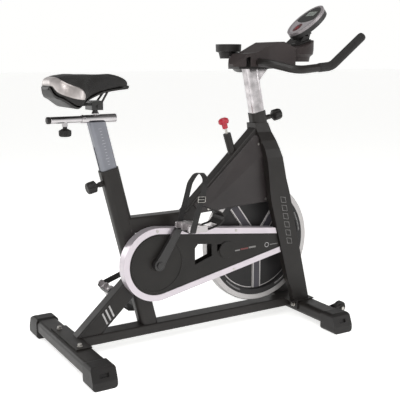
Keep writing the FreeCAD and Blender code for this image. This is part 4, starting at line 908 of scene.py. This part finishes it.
def make_stage():
    floor_look = plain("studio_floor", (0.90, 0.90, 0.89), None, (0.75, 0.9), grain=60,
                       depth=0.0001, spread=0.01)
    floor_look.shader.inputs["Emission Color"].default_value = (1.0, 1.0, 0.99, 1)
    floor_look.shader.inputs["Emission Strength"].default_value = 0.66
    builder = bmesh.new()
    bmesh.ops.create_grid(builder, x_segments=2, y_segments=2, size=60)
    mesh = bpy.data.meshes.new("floor")
    builder.to_mesh(mesh)
    builder.free()
    floor = bpy.data.objects.new("floor", mesh)
    bpy.context.scene.collection.objects.link(floor)
    mesh.materials.append(floor_look.material)
    make_world()
    lamps = (("key", (-2.2, -2.6, 3.0), 1.6, 60.0), ("fill", (2.8, -2.4, 1.6), 1.4, 16.0),
             ("rear", (-2.0, 3.0, 1.3), 1.5, 16.0), ("top", (-0.4, -0.6, 3.4), 1.6, 30.0))
    for name, spot, size, power in lamps:
        light = bpy.data.lights.new(name, "AREA")
        light.size = size
        light.energy = power
        item = bpy.data.objects.new(name, light)
        bpy.context.scene.collection.objects.link(item)
        item.location = spot
        aim = Vector((0, 0, 0.6)) - Vector(spot)
        item.rotation_euler = aim.to_track_quat("-Z", "Y").to_euler()


def make_world():
    """A white horizon that darkens overhead, the same all the way round."""
    world = bpy.data.worlds.new("studio")
    bpy.context.scene.world = world
    world.use_nodes = True
    tree = world.node_tree
    sky = tree.nodes.new("ShaderNodeTexCoord")
    split = tree.nodes.new("ShaderNodeSeparateXYZ")
    ramp = tree.nodes.new("ShaderNodeMapRange")
    ramp.interpolation_type = "SMOOTHSTEP"
    ramp.inputs["From Min"].default_value = 0.12
    ramp.inputs["From Max"].default_value = 0.55
    ramp.inputs["To Min"].default_value = 1.0
    ramp.inputs["To Max"].default_value = 0.22
    tree.links.new(sky.outputs["Generated"], split.inputs[0])
    tree.links.new(split.outputs["Z"], ramp.inputs["Value"])
    back = tree.nodes["Background"]
    back.inputs["Color"].default_value = (1.0, 1.0, 0.99, 1)
    tree.links.new(ramp.outputs[0], back.inputs["Strength"])


def make_camera():
    camera = bpy.data.cameras.new("camera")
    camera.lens = 67.44
    camera.sensor_width = 36.0
    item = bpy.data.objects.new("camera", camera)
    bpy.context.scene.collection.objects.link(item)
    item.location = (-1.329, -2.229, 0.962)
    item.rotation_euler = (math.radians(79.46), math.radians(0.12), math.radians(-30.65))
    bpy.context.scene.camera = item


dress_nodes()
make_saddle()
for SIDE in ("right", "left"):
    make_strap(SIDE)
make_grips()
make_strut_bars()
make_leg_marks()
make_guard_marks()
make_display()
make_rod_end()
make_stage()
make_camera()
bpy.context.scene.view_settings.view_transform = "Standard"
